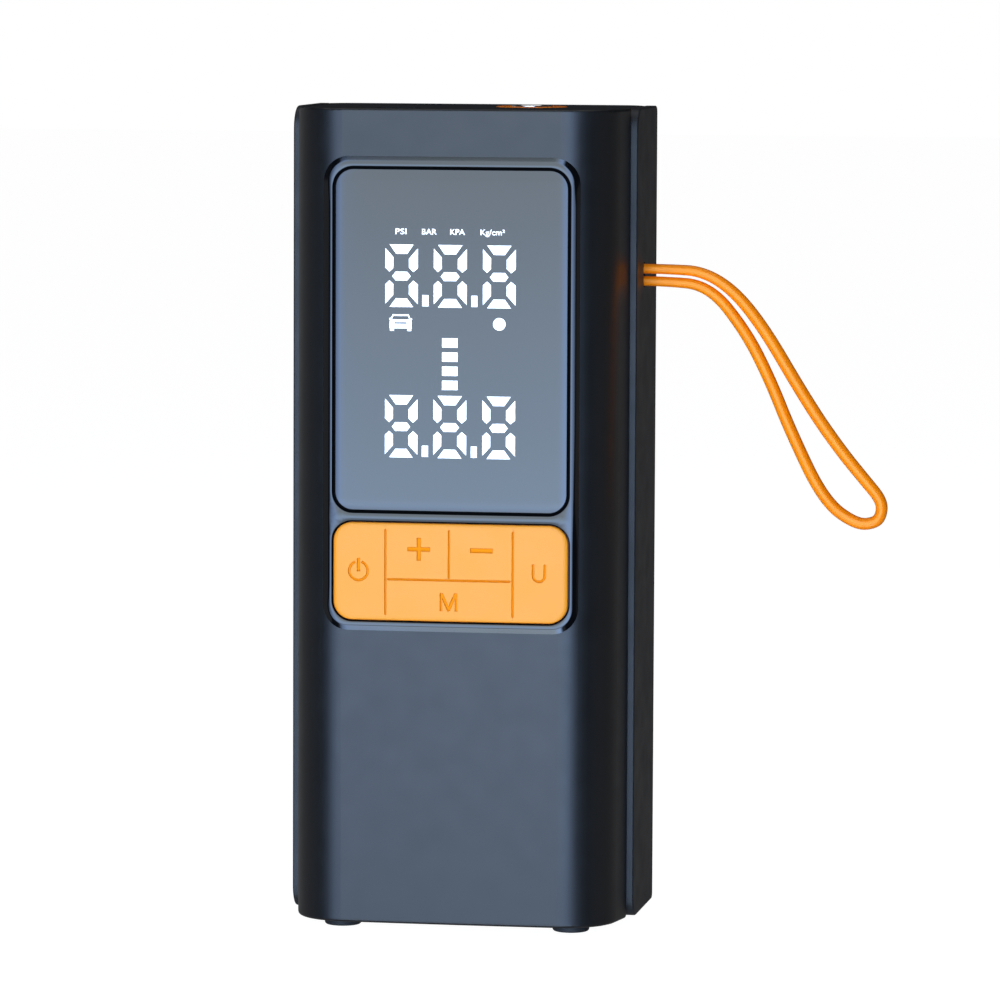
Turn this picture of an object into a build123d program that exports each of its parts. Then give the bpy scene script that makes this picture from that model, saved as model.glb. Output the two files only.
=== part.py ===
from build123d import *
import os
from math import acos, cos, degrees, pi, radians, sin, sqrt, tan

os.makedirs("parts", exist_ok=True)

# Hand-held cordless tire inflator, millimetres, +Z up, standing on its feet.
# X is across the front (X+ is the lanyard side), -Y is the display side.

# ------------------------------------------------------------ driving dimensions
BODY_H = 178.0          # height of the case without its feet
FOOT_H = 2.0            # height of the rubber feet
Z0, Z1 = FOOT_H, FOOT_H + BODY_H
PANEL_X = 38.25         # outer face of the side panels
HALF_W = 36.75          # half width of the case shells
Y_FRONT = -24.30        # crown of the case front
Y_SPLIT = -7.23         # rear edge of the front shell
Y_REAR = 25.0           # rear face
CROWN_R = 1000.0        # very slight crown of the front
CORNER_R = 12.0         # vertical front corners
SIDE_LEAN = 10.5        # degrees, how much the shell's sides open to the rear
REAR_R = 7.0            # vertical rear corners
WALL = 2.2
RIM = 1.8               # rim around the top cover
COVER_T = 1.65
TOP_WALL = 2.6
GAP = 0.1               # parting line

Z_REF = Z0              # heights on the front face are measured from the case's lower edge
BEZEL_X, BEZEL_Z0, BEZEL_Z1, BEZEL_R = 28.1, 64.5, 167.6, 5.6
LENS_X, LENS_Z0, LENS_Z1, LENS_R = 25.6, 90.75, 164.9, 4.0
PAD_X, PAD_Z0, PAD_Z1, PAD_R = 25.9, 66.75, 88.1, 4.2
GROOVE_X, GROOVE_Z, GROOVE_W = 14.05, 75.8, 0.5
BEZEL_PROUD, LENS_PROUD, KEY_PROUD = 0.45, 0.15, 0.7
KEY_TRAVEL = 0.5

PCB_Y0, PCB_Y1 = -15.3, -13.7
YC = 4.17               # plane of the compressor, the outlet and the lanyard
ZM = 98.0               # motor axis
N_PINION, N_GEAR, MODULE = 12, 48, 0.6
CENTRE_DIST = MODULE * (N_PINION + N_GEAR) / 2
ZG = ZM + CENTRE_DIST   # crank axis
CRANK_R, ROD_L = 6.0, 26.0
XP = -12.8              # plane of the connecting rod, axis of the cylinder
Z_WRIST = ZG - CRANK_R + ROD_L
BORE_R = 8.0
XN = 13.0               # outlet nozzle
CORD_D = 2.6


def at_y(y):
    """Plane facing -Y at the given y; local x is X, local y is Z."""
    return Plane(origin=(0, y, 0), x_dir=(1, 0, 0), z_dir=(0, -1, 0))


def at_x(x):
    """Plane facing +X at the given x; local x is Y, local y is Z."""
    return Plane.YZ.offset(x)


def at_z(z):
    return Plane.XY.offset(z)


def front_section(inset, y_back=Y_SPLIT):
    """Cross-section of the case's front, its skin moved inwards by inset."""
    lean = tan(radians(SIDE_LEAN))

    def x_side(y):
        return HALF_W - inset / cos(radians(SIDE_LEAN)) - (Y_SPLIT - y) * lean

    y_front = Y_FRONT + inset
    xv = x_side(y_front + 0.6)
    yv = y_front + xv**2 / (2 * CROWN_R)
    xb = x_side(y_back)
    with BuildSketch() as sk:
        with BuildLine():
            ThreePointArc((-xv, yv), (0, y_front), (xv, yv))
            Polyline((xv, yv), (xb, y_back), (-xb, y_back), (-xv, yv))
        make_face()
        fillet(sk.vertices().group_by(Axis.Y)[0], CORNER_R - inset)
    return sk.sketch


def rear_section(inset, y_open, extra=0.0):
    """Cross-section of the case's rear, open towards the front at y_open."""
    x = HALF_W - inset - extra
    with BuildSketch() as sk:
        with BuildLine():
            Polyline((-x, y_open), (x, y_open), (x, Y_REAR - inset),
                     (-x, Y_REAR - inset), close=True)
        make_face()
        fillet(sk.vertices().group_by(Axis.Y)[-1], REAR_R - inset)
    return sk.sketch


def rounded(x0, x1, z0, z1, r):
    with BuildSketch() as sk:
        with Locations(((x0 + x1) / 2, (z0 + z1) / 2)):
            RectangleRounded(x1 - x0, z1 - z0, r)
    return sk.sketch


BEZEL_FACE = rounded(-BEZEL_X, BEZEL_X, Z_REF + BEZEL_Z0, Z_REF + BEZEL_Z1, BEZEL_R)
BEZEL_POCKET = rounded(-BEZEL_X - 0.1, BEZEL_X + 0.1, Z_REF + BEZEL_Z0 - 0.1,
                       Z_REF + BEZEL_Z1 + 0.1, BEZEL_R + 0.1)
LENS_FACE = rounded(-LENS_X, LENS_X, Z_REF + LENS_Z0, Z_REF + LENS_Z1, LENS_R)
LENS_WINDOW = rounded(-LENS_X - 0.6, LENS_X + 0.6, Z_REF + LENS_Z0 - 0.6,
                      Z_REF + LENS_Z1 + 0.6, LENS_R + 0.6)
LENS_OPENING = rounded(-24.6, 24.6, Z_REF + 91.8, Z_REF + 163.9, 3.5)
PAD_FACE = rounded(-PAD_X, PAD_X, Z_REF + PAD_Z0, Z_REF + PAD_Z1, PAD_R)
PAD_WINDOW = rounded(-PAD_X - 0.35, PAD_X + 0.35, Z_REF + PAD_Z0 - 0.35,
                     Z_REF + PAD_Z1 + 0.35, PAD_R + 0.35)
PAD_OPENING = rounded(-24.6, 24.6, Z_REF + 67.8, Z_REF + 87.0, 3.2)

SEC_OUT = front_section(0.0)
SEC_IN = front_section(WALL, Y_SPLIT + 1)
SEC_RIM = front_section(RIM, Y_SPLIT + 1)
SEC_LEDGE = front_section(1.25, Y_SPLIT + 4)
SEC_BIG = front_section(-4.0, Y_SPLIT + 4)
SEC_BEZEL = front_section(-BEZEL_PROUD, Y_SPLIT + 3)
SEC_BEZEL_BACK = front_section(1.2, Y_SPLIT + 4)
SEC_LENS = front_section(-LENS_PROUD, Y_SPLIT + 3)
SEC_LENS_BACK = front_section(1.15, Y_SPLIT + 4)
SEC_KEY = front_section(-KEY_PROUD, Y_SPLIT + 3)
SEC_KEY_BACK = front_section(0.55, Y_SPLIT + 4)
REAR_OUT = rear_section(0.0, Y_SPLIT + GAP)
REAR_IN = rear_section(WALL, Y_SPLIT - 1, extra=0.75)
REAR_RIM = rear_section(RIM, Y_SPLIT - 1)

FOOT_XY = [(-25.45, -13.5), (25.45, -13.5), (-25.45, 14.2), (25.45, 14.2)]
BOSS_XZ = [(-29.0, Z0 + 7.0), (29.0, Z0 + 7.0), (-29.0, 170.6), (29.0, 170.6)]
PCB_HOLES = [(-27.4, Z0 + 65.5), (27.4, Z0 + 65.5), (-27.4, Z0 + 159.5), (27.4, Z0 + 159.5)]
KEYS = {
    "power": (-20.1, Z0 + 77.4),
    "plus": (-7.0, Z0 + 82.2),
    "minus": (7.0, Z0 + 82.2),
    "mode": (0.0, Z0 + 71.2),
    "unit": (20.1, Z0 + 77.4),
}
EXIT_Z = (142.65, 139.95)        # the two strands of the lanyard, above the case's lower edge
USB_X, USB_Y = -14.0, -12.0

# ------------------------------------------------------------ front shell
with BuildPart() as front_shell:
    with BuildSketch(at_z(Z0)):
        add(SEC_OUT)
    extrude(amount=BODY_H)
    rim_edges = [e for e in front_shell.edges().group_by(Axis.Z)[-1]
                 if e.center().Y < Y_SPLIT - 0.5]
    fillet(rim_edges, 0.6)
    low_edges = [e for e in front_shell.edges().group_by(Axis.Z)[0]
                 if e.center().Y < Y_SPLIT - 0.5]
    fillet(low_edges, 0.8)
    with BuildSketch(at_z(Z0 + WALL)):
        add(SEC_IN)
    extrude(amount=BODY_H - WALL - TOP_WALL - 1.8, mode=Mode.SUBTRACT)
    with BuildSketch(at_z(Z1 - 1.8)):
        add(SEC_RIM)
    extrude(amount=4, mode=Mode.SUBTRACT)
    # screw bosses, board bosses
    with BuildSketch(at_y(Y_SPLIT)):
        with Locations(*BOSS_XZ):
            Circle(3.5)
    extrude(amount=12.5)
    with BuildSketch(at_y(PCB_Y0 - 0.02)):
        with Locations(*PCB_HOLES):
            Circle(2.5)
    extrude(amount=6.0)
    with BuildSketch(at_y(Y_SPLIT)):
        with Locations(*BOSS_XZ):
            Circle(1.55)
    extrude(amount=11.0, mode=Mode.SUBTRACT)
    with BuildSketch(at_y(PCB_Y0)):
        with Locations(*PCB_HOLES):
            Circle(0.9)
    extrude(amount=5.0, mode=Mode.SUBTRACT)
    # slot for the charging port in the top wall
    with BuildSketch(at_z(Z1 - 6)):
        with Locations((USB_X, USB_Y)):
            RectangleRounded(9.3, 3.6, 1.7)
    extrude(amount=8, mode=Mode.SUBTRACT)

# pocket that the bezel lies in, and the openings behind the lens and the keys
with BuildPart() as pocket_cut:
    with BuildSketch(at_z(Z0)):
        add(SEC_BIG)
        add(SEC_LEDGE, mode=Mode.SUBTRACT)
    extrude(amount=BODY_H)
    with BuildSketch(at_y(-10)):
        add(BEZEL_POCKET)
    extrude(amount=30, mode=Mode.INTERSECT)
with BuildPart() as window_cut:
    with BuildSketch(at_y(-19)):
        add(LENS_OPENING)
        add(PAD_OPENING)
    extrude(amount=20)
front_shell.part = front_shell.part - pocket_cut.part - window_cut.part
front_shell.part.label = "front_shell"
export_step(front_shell.part, "parts/front_shell.step")

# ------------------------------------------------------------ rear shell
with BuildPart() as rear_shell:
    with BuildSketch(at_z(Z0)):
        add(REAR_OUT)
    extrude(amount=BODY_H)
    back_edges = [e for e in rear_shell.edges().group_by(Axis.Z)[-1]
                  if e.center().Y > Y_REAR - REAR_R]
    fillet(back_edges, 1.2)
    back_edges = [e for e in rear_shell.edges().group_by(Axis.Z)[0]
                  if e.center().Y > Y_REAR - REAR_R]
    fillet(back_edges, 1.2)
    with BuildSketch(at_z(Z0 + WALL)):
        add(REAR_IN)
    extrude(amount=BODY_H - WALL - TOP_WALL - 1.8, mode=Mode.SUBTRACT)
    with BuildSketch(at_z(Z1 - 1.8)):
        add(REAR_RIM)
    extrude(amount=4, mode=Mode.SUBTRACT)
    # recesses that the side panels lie in
    for side in (-1, 1):
        with BuildSketch(at_x(side * 36.0)) as rec:
            with Locations(((Y_SPLIT + 23.27) / 2, (Z0 + Z1) / 2)):
                Rectangle(23.27 - Y_SPLIT, BODY_H + 4)
        extrude(amount=side * 5, mode=Mode.SUBTRACT)
    # screw bosses with head recesses from the rear
    with BuildSketch(at_y(Y_SPLIT + GAP)):
        with Locations(*BOSS_XZ):
            Circle(3.9)
    extrude(amount=-(Y_REAR - WALL - 0.3 - Y_SPLIT))
    with BuildSketch(at_y(Y_SPLIT)):
        with Locations(*BOSS_XZ):
            Circle(1.7)
    extrude(amount=-40, mode=Mode.SUBTRACT)
    with BuildSketch(at_y(8.0)):
        with Locations(*BOSS_XZ):
            Circle(3.0)
    extrude(amount=-20, mode=Mode.SUBTRACT)
    # posts for the gear frame
    with BuildSketch(at_y(19.55)):
        with Locations((8.0, 118.0), (8.0, 129.0)):
            Circle(3.0)
    extrude(amount=-3.6)
    with BuildSketch(at_y(19.55)):
        with Locations((8.0, 118.0), (8.0, 129.0)):
            Circle(1.25)
    extrude(amount=-3.6, mode=Mode.SUBTRACT)
    # hole for the nozzle
    with BuildSketch(at_z(Z1 - 6)):
        with Locations((XN, YC)):
            Circle(4.55)
    extrude(amount=8, mode=Mode.SUBTRACT)
    # slot for the two strands of the lanyard
    with BuildSketch(at_x(30)):
        with Locations((YC + 0.1, Z0 + (EXIT_Z[0] + EXIT_Z[1]) / 2)):
            SlotOverall(EXIT_Z[0] - EXIT_Z[1] + 3.2, 3.2, rotation=90)
    extrude(amount=10, mode=Mode.SUBTRACT)
rear_shell.part.label = "rear_shell"
export_step(rear_shell.part, "parts/rear_shell.step")

# ------------------------------------------------------------ side panels
PANEL_Y0, PANEL_Y1 = -6.83, 23.17
for side in (-1, 1):
    with BuildPart() as panel:
        with BuildSketch(at_x(side * 36.05)) as outline:
            with Locations(((PANEL_Y0 + PANEL_Y1) / 2, (Z0 + Z1) / 2)):
                Rectangle(PANEL_Y1 - PANEL_Y0, BODY_H)
            fillet(outline.vertices().group_by(Axis.X)[0], 5.0)
            fillet(outline.vertices().group_by(Axis.X)[-1], 1.5)
        extrude(amount=side * (PANEL_X - 36.05))
        fillet(panel.faces().sort_by(Axis.X)[-1 if side > 0 else 0].edges(), 0.4)
        if side > 0:
            with BuildSketch(at_x(30)):
                with Locations((YC + 0.1, Z0 + (EXIT_Z[0] + EXIT_Z[1]) / 2)):
                    SlotOverall(EXIT_Z[0] - EXIT_Z[1] + 2.9, 2.9, rotation=90)
            extrude(amount=10, mode=Mode.SUBTRACT)
    if side < 0:
        side_panel_left = panel
    else:
        side_panel_right = panel
side_panel_left.part.label = "side_panel_left"
export_step(side_panel_left.part, "parts/side_panel_left.step")
side_panel_right.part.label = "side_panel_right"
export_step(side_panel_right.part, "parts/side_panel_right.step")

# ------------------------------------------------------------ top cover, outlet ring, nozzle, nut
with BuildPart() as top_cover:
    with BuildSketch(at_z(Z1 - 1.8 + 0.05)):
        add(front_section(RIM + 0.1, Y_SPLIT))
        add(rear_section(RIM + 0.1, Y_SPLIT - 0.01))
    extrude(amount=COVER_T)
    with BuildSketch(at_z(Z1 - 3)):
        with Locations((XN, YC)):
            Circle(8.0)
        with Locations((USB_X, USB_Y)):
            RectangleRounded(10.2, 4.6, 2.2)
    extrude(amount=5, mode=Mode.SUBTRACT)
top_cover.part.label = "top_cover"
export_step(top_cover.part, "parts/top_cover.step")

with BuildPart() as outlet_ring:
    with BuildSketch(Plane(origin=(XN, YC, 0), x_dir=(1, 0, 0), z_dir=(0, -1, 0))):
        with BuildLine():
            Polyline((4.6, Z1 - 1.75), (7.85, Z1 - 1.75), (7.85, Z1 + 0.0), (7.5, Z1 + 0.3),
                     (5.6, Z1 + 0.3), (4.6, Z1 - 0.5), close=True)
        make_face()
    revolve(axis=Axis((XN, YC, 0), (0, 0, 1)))
outlet_ring.part.label = "outlet_ring"
export_step(outlet_ring.part, "parts/outlet_ring.step")

with BuildPart() as outlet_nozzle:
    with BuildSketch(Plane(origin=(XN, YC, 0), x_dir=(1, 0, 0), z_dir=(0, -1, 0))):
        with BuildLine():
            Polyline((1.0, 163.5), (1.5, 163.5), (1.9, 164.6), (1.9, 170.0), (4.5, 170.0),
                     (4.5, Z1 - 0.3), (4.2, Z1 + 0.1), (3.6, Z1 + 0.1), (3.6, 171.2),
                     (1.0, 171.2), close=True)
        make_face()
    revolve(axis=Axis((XN, YC, 0), (0, 0, 1)))
outlet_nozzle.part.label = "outlet_nozzle"
export_step(outlet_nozzle.part, "parts/outlet_nozzle.step")

with BuildPart() as outlet_nut:
    with BuildSketch(at_z(172.4)):
        with Locations((XN, YC)):
            RegularPolygon(6.6, 6)
            Circle(4.52, mode=Mode.SUBTRACT)
    extrude(amount=3.1)
outlet_nut.part.label = "outlet_nut"
export_step(outlet_nut.part, "parts/outlet_nut.step")

# ------------------------------------------------------------ bezel and lens
with BuildPart() as display_bezel:
    with BuildSketch(at_z(Z0)):
        add(SEC_BEZEL)
        add(SEC_BEZEL_BACK, mode=Mode.SUBTRACT)
    extrude(amount=BODY_H)
    with BuildSketch(at_y(-10)):
        add(BEZEL_FACE)
    extrude(amount=30, mode=Mode.INTERSECT)
    with BuildSketch(at_y(-10)):
        add(LENS_WINDOW)
        add(PAD_WINDOW)
    extrude(amount=30, mode=Mode.SUBTRACT)
display_bezel.part.label = "display_bezel"
export_step(display_bezel.part, "parts/display_bezel.step")

with BuildPart() as display_lens:
    with BuildSketch(at_z(Z0)):
        add(SEC_LENS)
        add(SEC_LENS_BACK, mode=Mode.SUBTRACT)
    extrude(amount=BODY_H)
    with BuildSketch(at_y(-10)):
        add(LENS_FACE)
    extrude(amount=30, mode=Mode.INTERSECT)
display_lens.part.label = "display_lens"
export_step(display_lens.part, "parts/display_lens.step")

# ------------------------------------------------------------ keys and switch plungers
g = GROOVE_W / 2
zl, zm, zh = Z_REF + PAD_Z0, Z_REF + GROOVE_Z, Z_REF + PAD_Z1
KEY_BOX = {
    "power": (-40.0, -GROOVE_X - g, zl - 5, zh + 5),
    "plus": (-GROOVE_X + g, -g, zm + g, zh + 5),
    "minus": (g, GROOVE_X - g, zm + g, zh + 5),
    "mode": (-GROOVE_X + g, GROOVE_X - g, zl - 5, zm - g),
    "unit": (GROOVE_X + g, 40.0, zl - 5, zh + 5),
}
for name, (kx, kz) in KEYS.items():
    with BuildPart() as key:
        with BuildSketch(at_z(Z0)):
            add(SEC_KEY)
            add(SEC_KEY_BACK, mode=Mode.SUBTRACT)
        extrude(amount=BODY_H)
        with BuildSketch(at_y(-10)):
            x0, x1, z0, z1 = KEY_BOX[name]
            with Locations(((x0 + x1) / 2, (z0 + z1) / 2)):
                Rectangle(x1 - x0, z1 - z0)
            add(PAD_FACE, mode=Mode.INTERSECT)
        extrude(amount=30, mode=Mode.INTERSECT)
        with BuildSketch(at_y(-19.45)):
            with Locations((kx, kz)):
                Circle(1.6)
        extrude(amount=4.9)
    key.part.label = f"key_{name}"
    export_step(key.part, f"parts/key_{name}.step")
    with BuildPart() as plunger:
        with BuildSketch(at_y(-19.4)):
            with Locations((kx, kz)):
                Circle(1.5)
        extrude(amount=-3.2)
    plunger.part.label = f"plunger_{name}"
    export_step(plunger.part, f"parts/plunger_{name}.step")

# ------------------------------------------------------------ main board and what is on it
with BuildPart() as main_pcb:
    with BuildSketch(at_y(PCB_Y0)):
        with Locations((0, (Z0 + 61.5 + Z0 + 163.5) / 2)):
            RectangleRounded(60.4, 102.0, 1.5)
        with Locations((0, 170.0)):
            Rectangle(44.0, 9.0)
        with Locations(*PCB_HOLES):
            Circle(1.2, mode=Mode.SUBTRACT)
    extrude(amount=-(PCB_Y1 - PCB_Y0))
main_pcb.part.label = "main_pcb"
export_step(main_pcb.part, "parts/main_pcb.step")

with BuildPart() as pcb_screws:
    with BuildSketch(at_y(PCB_Y1)):
        with Locations(*PCB_HOLES):
            Circle(2.0)
    extrude(amount=-1.2)
    with BuildSketch(at_y(PCB_Y1)):
        with Locations(*PCB_HOLES):
            Circle(0.85)
    extrude(amount=5.0)
pcb_screws.part.label = "pcb_screws"
export_step(pcb_screws.part, "parts/pcb_screws.step")

with BuildPart() as tact_switches:
    with BuildSketch(at_y(PCB_Y0)):
        with Locations(*KEYS.values()):
            Rectangle(6.0, 6.0)
    extrude(amount=3.2)
    with BuildSketch(at_y(PCB_Y0 - 0.3)):
        with Locations(*KEYS.values()):
            Circle(1.58)
    extrude(amount=3.5, mode=Mode.SUBTRACT)
tact_switches.part.label = "tact_switches"
export_step(tact_switches.part, "parts/tact_switches.step")

with BuildPart() as display_module:
    with BuildSketch(at_y(PCB_Y0 - 0.05)):
        with Locations((0, Z0 + 127.85)):
            RectangleRounded(47.0, 70.5, 1.5)
    extrude(amount=7.2)
    with BuildSketch(at_y(PCB_Y0 - 0.05)):
        with Locations(*[(i * 10.75, Z0 + z + dz) for i in (-1, 0, 1)
                         for z in (141.9, 109.1) for dz in (-3.2, 3.2)]):
            Rectangle(3.2, 3.6)
    extrude(amount=9, mode=Mode.SUBTRACT)
display_module.part.label = "display_module"
export_step(display_module.part, "parts/display_module.step")

with BuildPart() as usb_port:
    with BuildSketch(at_z(171.0)):
        with Locations((USB_X, USB_Y)):
            RectangleRounded(8.94, 3.2, 1.55)
            RectangleRounded(8.34, 2.6, 1.25, mode=Mode.SUBTRACT)
    extrude(amount=7.3)
    with BuildSketch(at_z(171.0)):
        with Locations((USB_X, USB_Y)):
            RectangleRounded(8.94, 3.2, 1.55)
    extrude(amount=0.5)
    with BuildSketch(at_z(171.0)):
        with Locations((USB_X, USB_Y)):
            Rectangle(6.6, 0.7)
    extrude(amount=6.4)
usb_port.part.label = "usb_port"
export_step(usb_port.part, "parts/usb_port.step")

with BuildPart() as pressure_sensor:
    with BuildSketch(at_y(PCB_Y1 + 0.05)):
        with Locations((XP, 156.7)):
            Rectangle(9.0, 9.0)
    extrude(amount=-4.1)
    with BuildSketch(at_y(-9.6)):
        with Locations((XP, 156.7)):
            Circle(1.4)
    extrude(amount=-2.0)
    with BuildSketch(at_y(-11.0)):
        with Locations((XP, 156.7)):
            Circle(0.5)
    extrude(amount=-4.0, mode=Mode.SUBTRACT)
pressure_sensor.part.label = "pressure_sensor"
export_step(pressure_sensor.part, "parts/pressure_sensor.step")

with BuildPart() as sensor_tube:
    with BuildSketch(at_y(-9.45)):
        with Locations((XP, 156.7)):
            Circle(2.2)
            Circle(1.43, mode=Mode.SUBTRACT)
    extrude(amount=-4.1)
sensor_tube.part.label = "sensor_tube"
export_step(sensor_tube.part, "parts/sensor_tube.step")

# ------------------------------------------------------------ battery
with BuildPart() as battery_cells:
    with BuildSketch(at_z(14.0)):
        with Locations((-18.9, 12.3), (0, 12.3), (18.9, 12.3)):
            Circle(9.2)
    extrude(amount=65.0)
battery_cells.part.label = "battery_cells"
export_step(battery_cells.part, "parts/battery_cells.step")

with BuildPart() as battery_trays:
    for z, h in ((14.0, 5.0), (74.0, 5.0)):
        with BuildSketch(at_z(z)):
            with Locations((0, 12.3)):
                RectangleRounded(58.6, 20.4, 3.0)
            with Locations((-18.9, 12.3), (0, 12.3), (18.9, 12.3)):
                Circle(9.25, mode=Mode.SUBTRACT)
        extrude(amount=h)
battery_trays.part.label = "battery_trays"
export_step(battery_trays.part, "parts/battery_trays.step")

with BuildPart() as cell_links:
    with BuildSketch(at_z(13.65)):
        with Locations((-9.45, 12.3)):
            Rectangle(25.0, 6.0)
    extrude(amount=0.3)
    with BuildSketch(at_z(79.05)):
        with Locations((9.45, 12.3)):
            Rectangle(25.0, 6.0)
    extrude(amount=0.3)
cell_links.part.label = "cell_links"
export_step(cell_links.part, "parts/cell_links.step")

with BuildPart() as bms_board:
    with BuildSketch(at_y(0.6)):
        with Locations((0, 47.0)):
            Rectangle(54.0, 50.0)
    extrude(amount=-1.2)
    with BuildSketch(at_y(0.6)):
        with Locations((-14, 40), (-6, 40), (4, 52)):
            Rectangle(5.0, 4.0)
    extrude(amount=1.5)
bms_board.part.label = "bms_board"
export_step(bms_board.part, "parts/bms_board.step")

WIRE_R = 0.8
WIRES = {
    "a": [(5, 0.55, 62), (5, -4.5, 62), (5, -8.5, 72), (5, -13.65, 72)],
    "b": [(9, 0.55, 62), (9, -4.5, 62), (9, -8.5, 72), (9, -13.65, 72)],
    "c": [(29.8, 8, 102), (32.2, 8, 102), (32.2, -8.5, 102), (27.5, -11.2, 102),
          (27.5, -13.65, 102)],
    "d": [(29.8, 8, 94), (32.2, 8, 94), (32.2, -8.5, 94), (27.5, -11.2, 94),
          (27.5, -13.65, 94)],
}
with BuildPart() as wiring:
    for pts in WIRES.values():
        with BuildLine() as wire:
            FilletPolyline(*pts, radius=1.1)
        with BuildSketch(Plane(origin=wire.line @ 0, z_dir=wire.line % 0)):
            Circle(WIRE_R)
        sweep(path=wire.line)
wiring.part.label = "wiring"
export_step(wiring.part, "parts/wiring.step")

# ------------------------------------------------------------ motor
with BuildPart() as motor_can:
    with BuildSketch(at_x(-1.0)):
        with Locations((YC, ZM)):
            Circle(12.2)
    extrude(amount=27.5)
    with BuildSketch(at_x(-3.0)):
        with Locations((YC, ZM)):
            Circle(3.0)
    extrude(amount=3.0)
    with BuildSketch(at_x(0.0)):
        with Locations((YC, ZM)):
            Circle(11.2)
    extrude(amount=30, mode=Mode.SUBTRACT)
    with BuildSketch(at_x(-4.0)):
        with Locations((YC, ZM)):
            Circle(1.05)
        with Locations((YC - 8, ZM), (YC + 8, ZM)):
            Circle(1.25)
    extrude(amount=6, mode=Mode.SUBTRACT)
motor_can.part.label = "motor_can"
export_step(motor_can.part, "parts/motor_can.step")

with BuildPart() as motor_end_cap:
    with BuildSketch(at_x(26.55)):
        with Locations((YC, ZM)):
            Circle(12.2)
    extrude(amount=3.2)
    with BuildSketch(at_x(26.0)):
        with Locations((YC, ZM)):
            Circle(1.08)
    extrude(amount=2.2, mode=Mode.SUBTRACT)
motor_end_cap.part.label = "motor_end_cap"
export_step(motor_end_cap.part, "parts/motor_end_cap.step")

with BuildPart() as motor_magnets:
    with BuildSketch(at_x(3.0)):
        with Locations((YC, ZM)):
            Circle(11.15)
            Circle(8.9, mode=Mode.SUBTRACT)
            Rectangle(9.0, 30, mode=Mode.SUBTRACT)
    extrude(amount=20)
motor_magnets.part.label = "motor_magnets"
export_step(motor_magnets.part, "parts/motor_magnets.step")

with BuildPart() as motor_shaft:
    with BuildSketch(at_x(-9.2)):
        with Locations((YC, ZM)):
            Circle(1.0)
    extrude(amount=37.3)
motor_shaft.part.label = "motor_shaft"
export_step(motor_shaft.part, "parts/motor_shaft.step")

with BuildPart() as motor_armature:
    with BuildSketch(at_x(5.0)):
        with Locations((YC, ZM)):
            Circle(8.3)
            with PolarLocations(6.6, 3, start_angle=90):
                Rectangle(4.4, 2.2, mode=Mode.SUBTRACT)
            Circle(1.0, mode=Mode.SUBTRACT)
    extrude(amount=15)
    with BuildSketch(at_x(21.5)):
        with Locations((YC, ZM)):
            Circle(3.0)
            Circle(1.0, mode=Mode.SUBTRACT)
    extrude(amount=4.5)
    with BuildSketch(at_x(20.0)):
        with Locations((YC, ZM)):
            Circle(2.2)
            Circle(1.0, mode=Mode.SUBTRACT)
    extrude(amount=1.5)
motor_armature.part.label = "motor_armature"
export_step(motor_armature.part, "parts/motor_armature.step")


def gear_outline(teeth, addendum, dedendum, thinning, phase):
    """Involute spur gear outline, 20 degrees, straight segments along each flank."""
    rp = MODULE * teeth / 2
    rb = rp * cos(radians(20))
    ra, rr = rp + addendum, rp - dedendum
    inv20 = tan(radians(20)) - radians(20)
    half = pi / (2 * teeth) - thinning / (2 * rp)

    def psi(r):
        a = acos(min(1.0, rb / r))
        return half + inv20 - (tan(a) - a)

    start = max(rb, rr)
    radii = [start + (ra - start) * t for t in (0.0, 0.4, 0.75, 1.0)]
    pts = []
    for k in range(teeth):
        mid = phase + 2 * pi * k / teeth
        left = [(r, mid - psi(r)) for r in radii]
        right = [(r, mid + psi(r)) for r in reversed(radii)]
        if rr < start - 0.01:
            left = [(rr, mid - psi(start))] + left
            right = right + [(rr, mid + psi(start))]
        pts += [(r * cos(t), r * sin(t)) for r, t in left + right]
    return pts


with BuildPart() as motor_pinion:
    with BuildSketch(at_x(-9.0)):
        with Locations((YC, ZM)):
            with BuildSketch(mode=Mode.PRIVATE) as teeth12:
                with BuildLine():
                    Polyline(*gear_outline(N_PINION, 0.54, 0.62, 0.10, radians(15)), close=True)
                make_face()
            add(teeth12.sketch)
            Circle(1.0, mode=Mode.SUBTRACT)
    extrude(amount=4.0)
motor_pinion.part.label = "motor_pinion"
export_step(motor_pinion.part, "parts/motor_pinion.step")

# ------------------------------------------------------------ crank
with BuildPart() as drive_gear:
    with BuildSketch(at_x(-8.6)):
        with Locations((YC, ZG)):
            with BuildSketch(mode=Mode.PRIVATE) as teeth48:
                with BuildLine():
                    Polyline(*gear_outline(N_GEAR, 0.45, 0.72, 0.10, 0.0), close=True)
                make_face()
            add(teeth48.sketch)
            Circle(2.0, mode=Mode.SUBTRACT)
    extrude(amount=3.2)
    with BuildSketch(at_x(-5.4)):
        with Locations((YC, ZG)):
            Circle(3.4)
            Circle(2.0, mode=Mode.SUBTRACT)
    extrude(amount=1.9)
    # lightening holes opposite the crank pin's seat
    with BuildSketch(at_x(-9)):
        with Locations((YC, ZG)):
            with PolarLocations(9.0, 3, start_angle=30, angular_range=120, endpoint=True):
                Circle(2.4)
    extrude(amount=5, mode=Mode.SUBTRACT)
drive_gear.part.label = "drive_gear"
export_step(drive_gear.part, "parts/drive_gear.step")

with BuildPart() as crank_shaft:
    with BuildSketch(at_x(-8.6)):
        with Locations((YC, ZG)):
            Circle(2.0)
    extrude(amount=12.9)
    with BuildSketch(at_x(4.3)):
        with Locations((YC, ZG)):
            Circle(1.6)
    extrude(amount=0.6)
    with BuildSketch(at_x(4.9)):
        with Locations((YC, ZG)):
            Circle(2.0)
    extrude(amount=0.8)
crank_shaft.part.label = "crank_shaft"
export_step(crank_shaft.part, "parts/crank_shaft.step")

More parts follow.
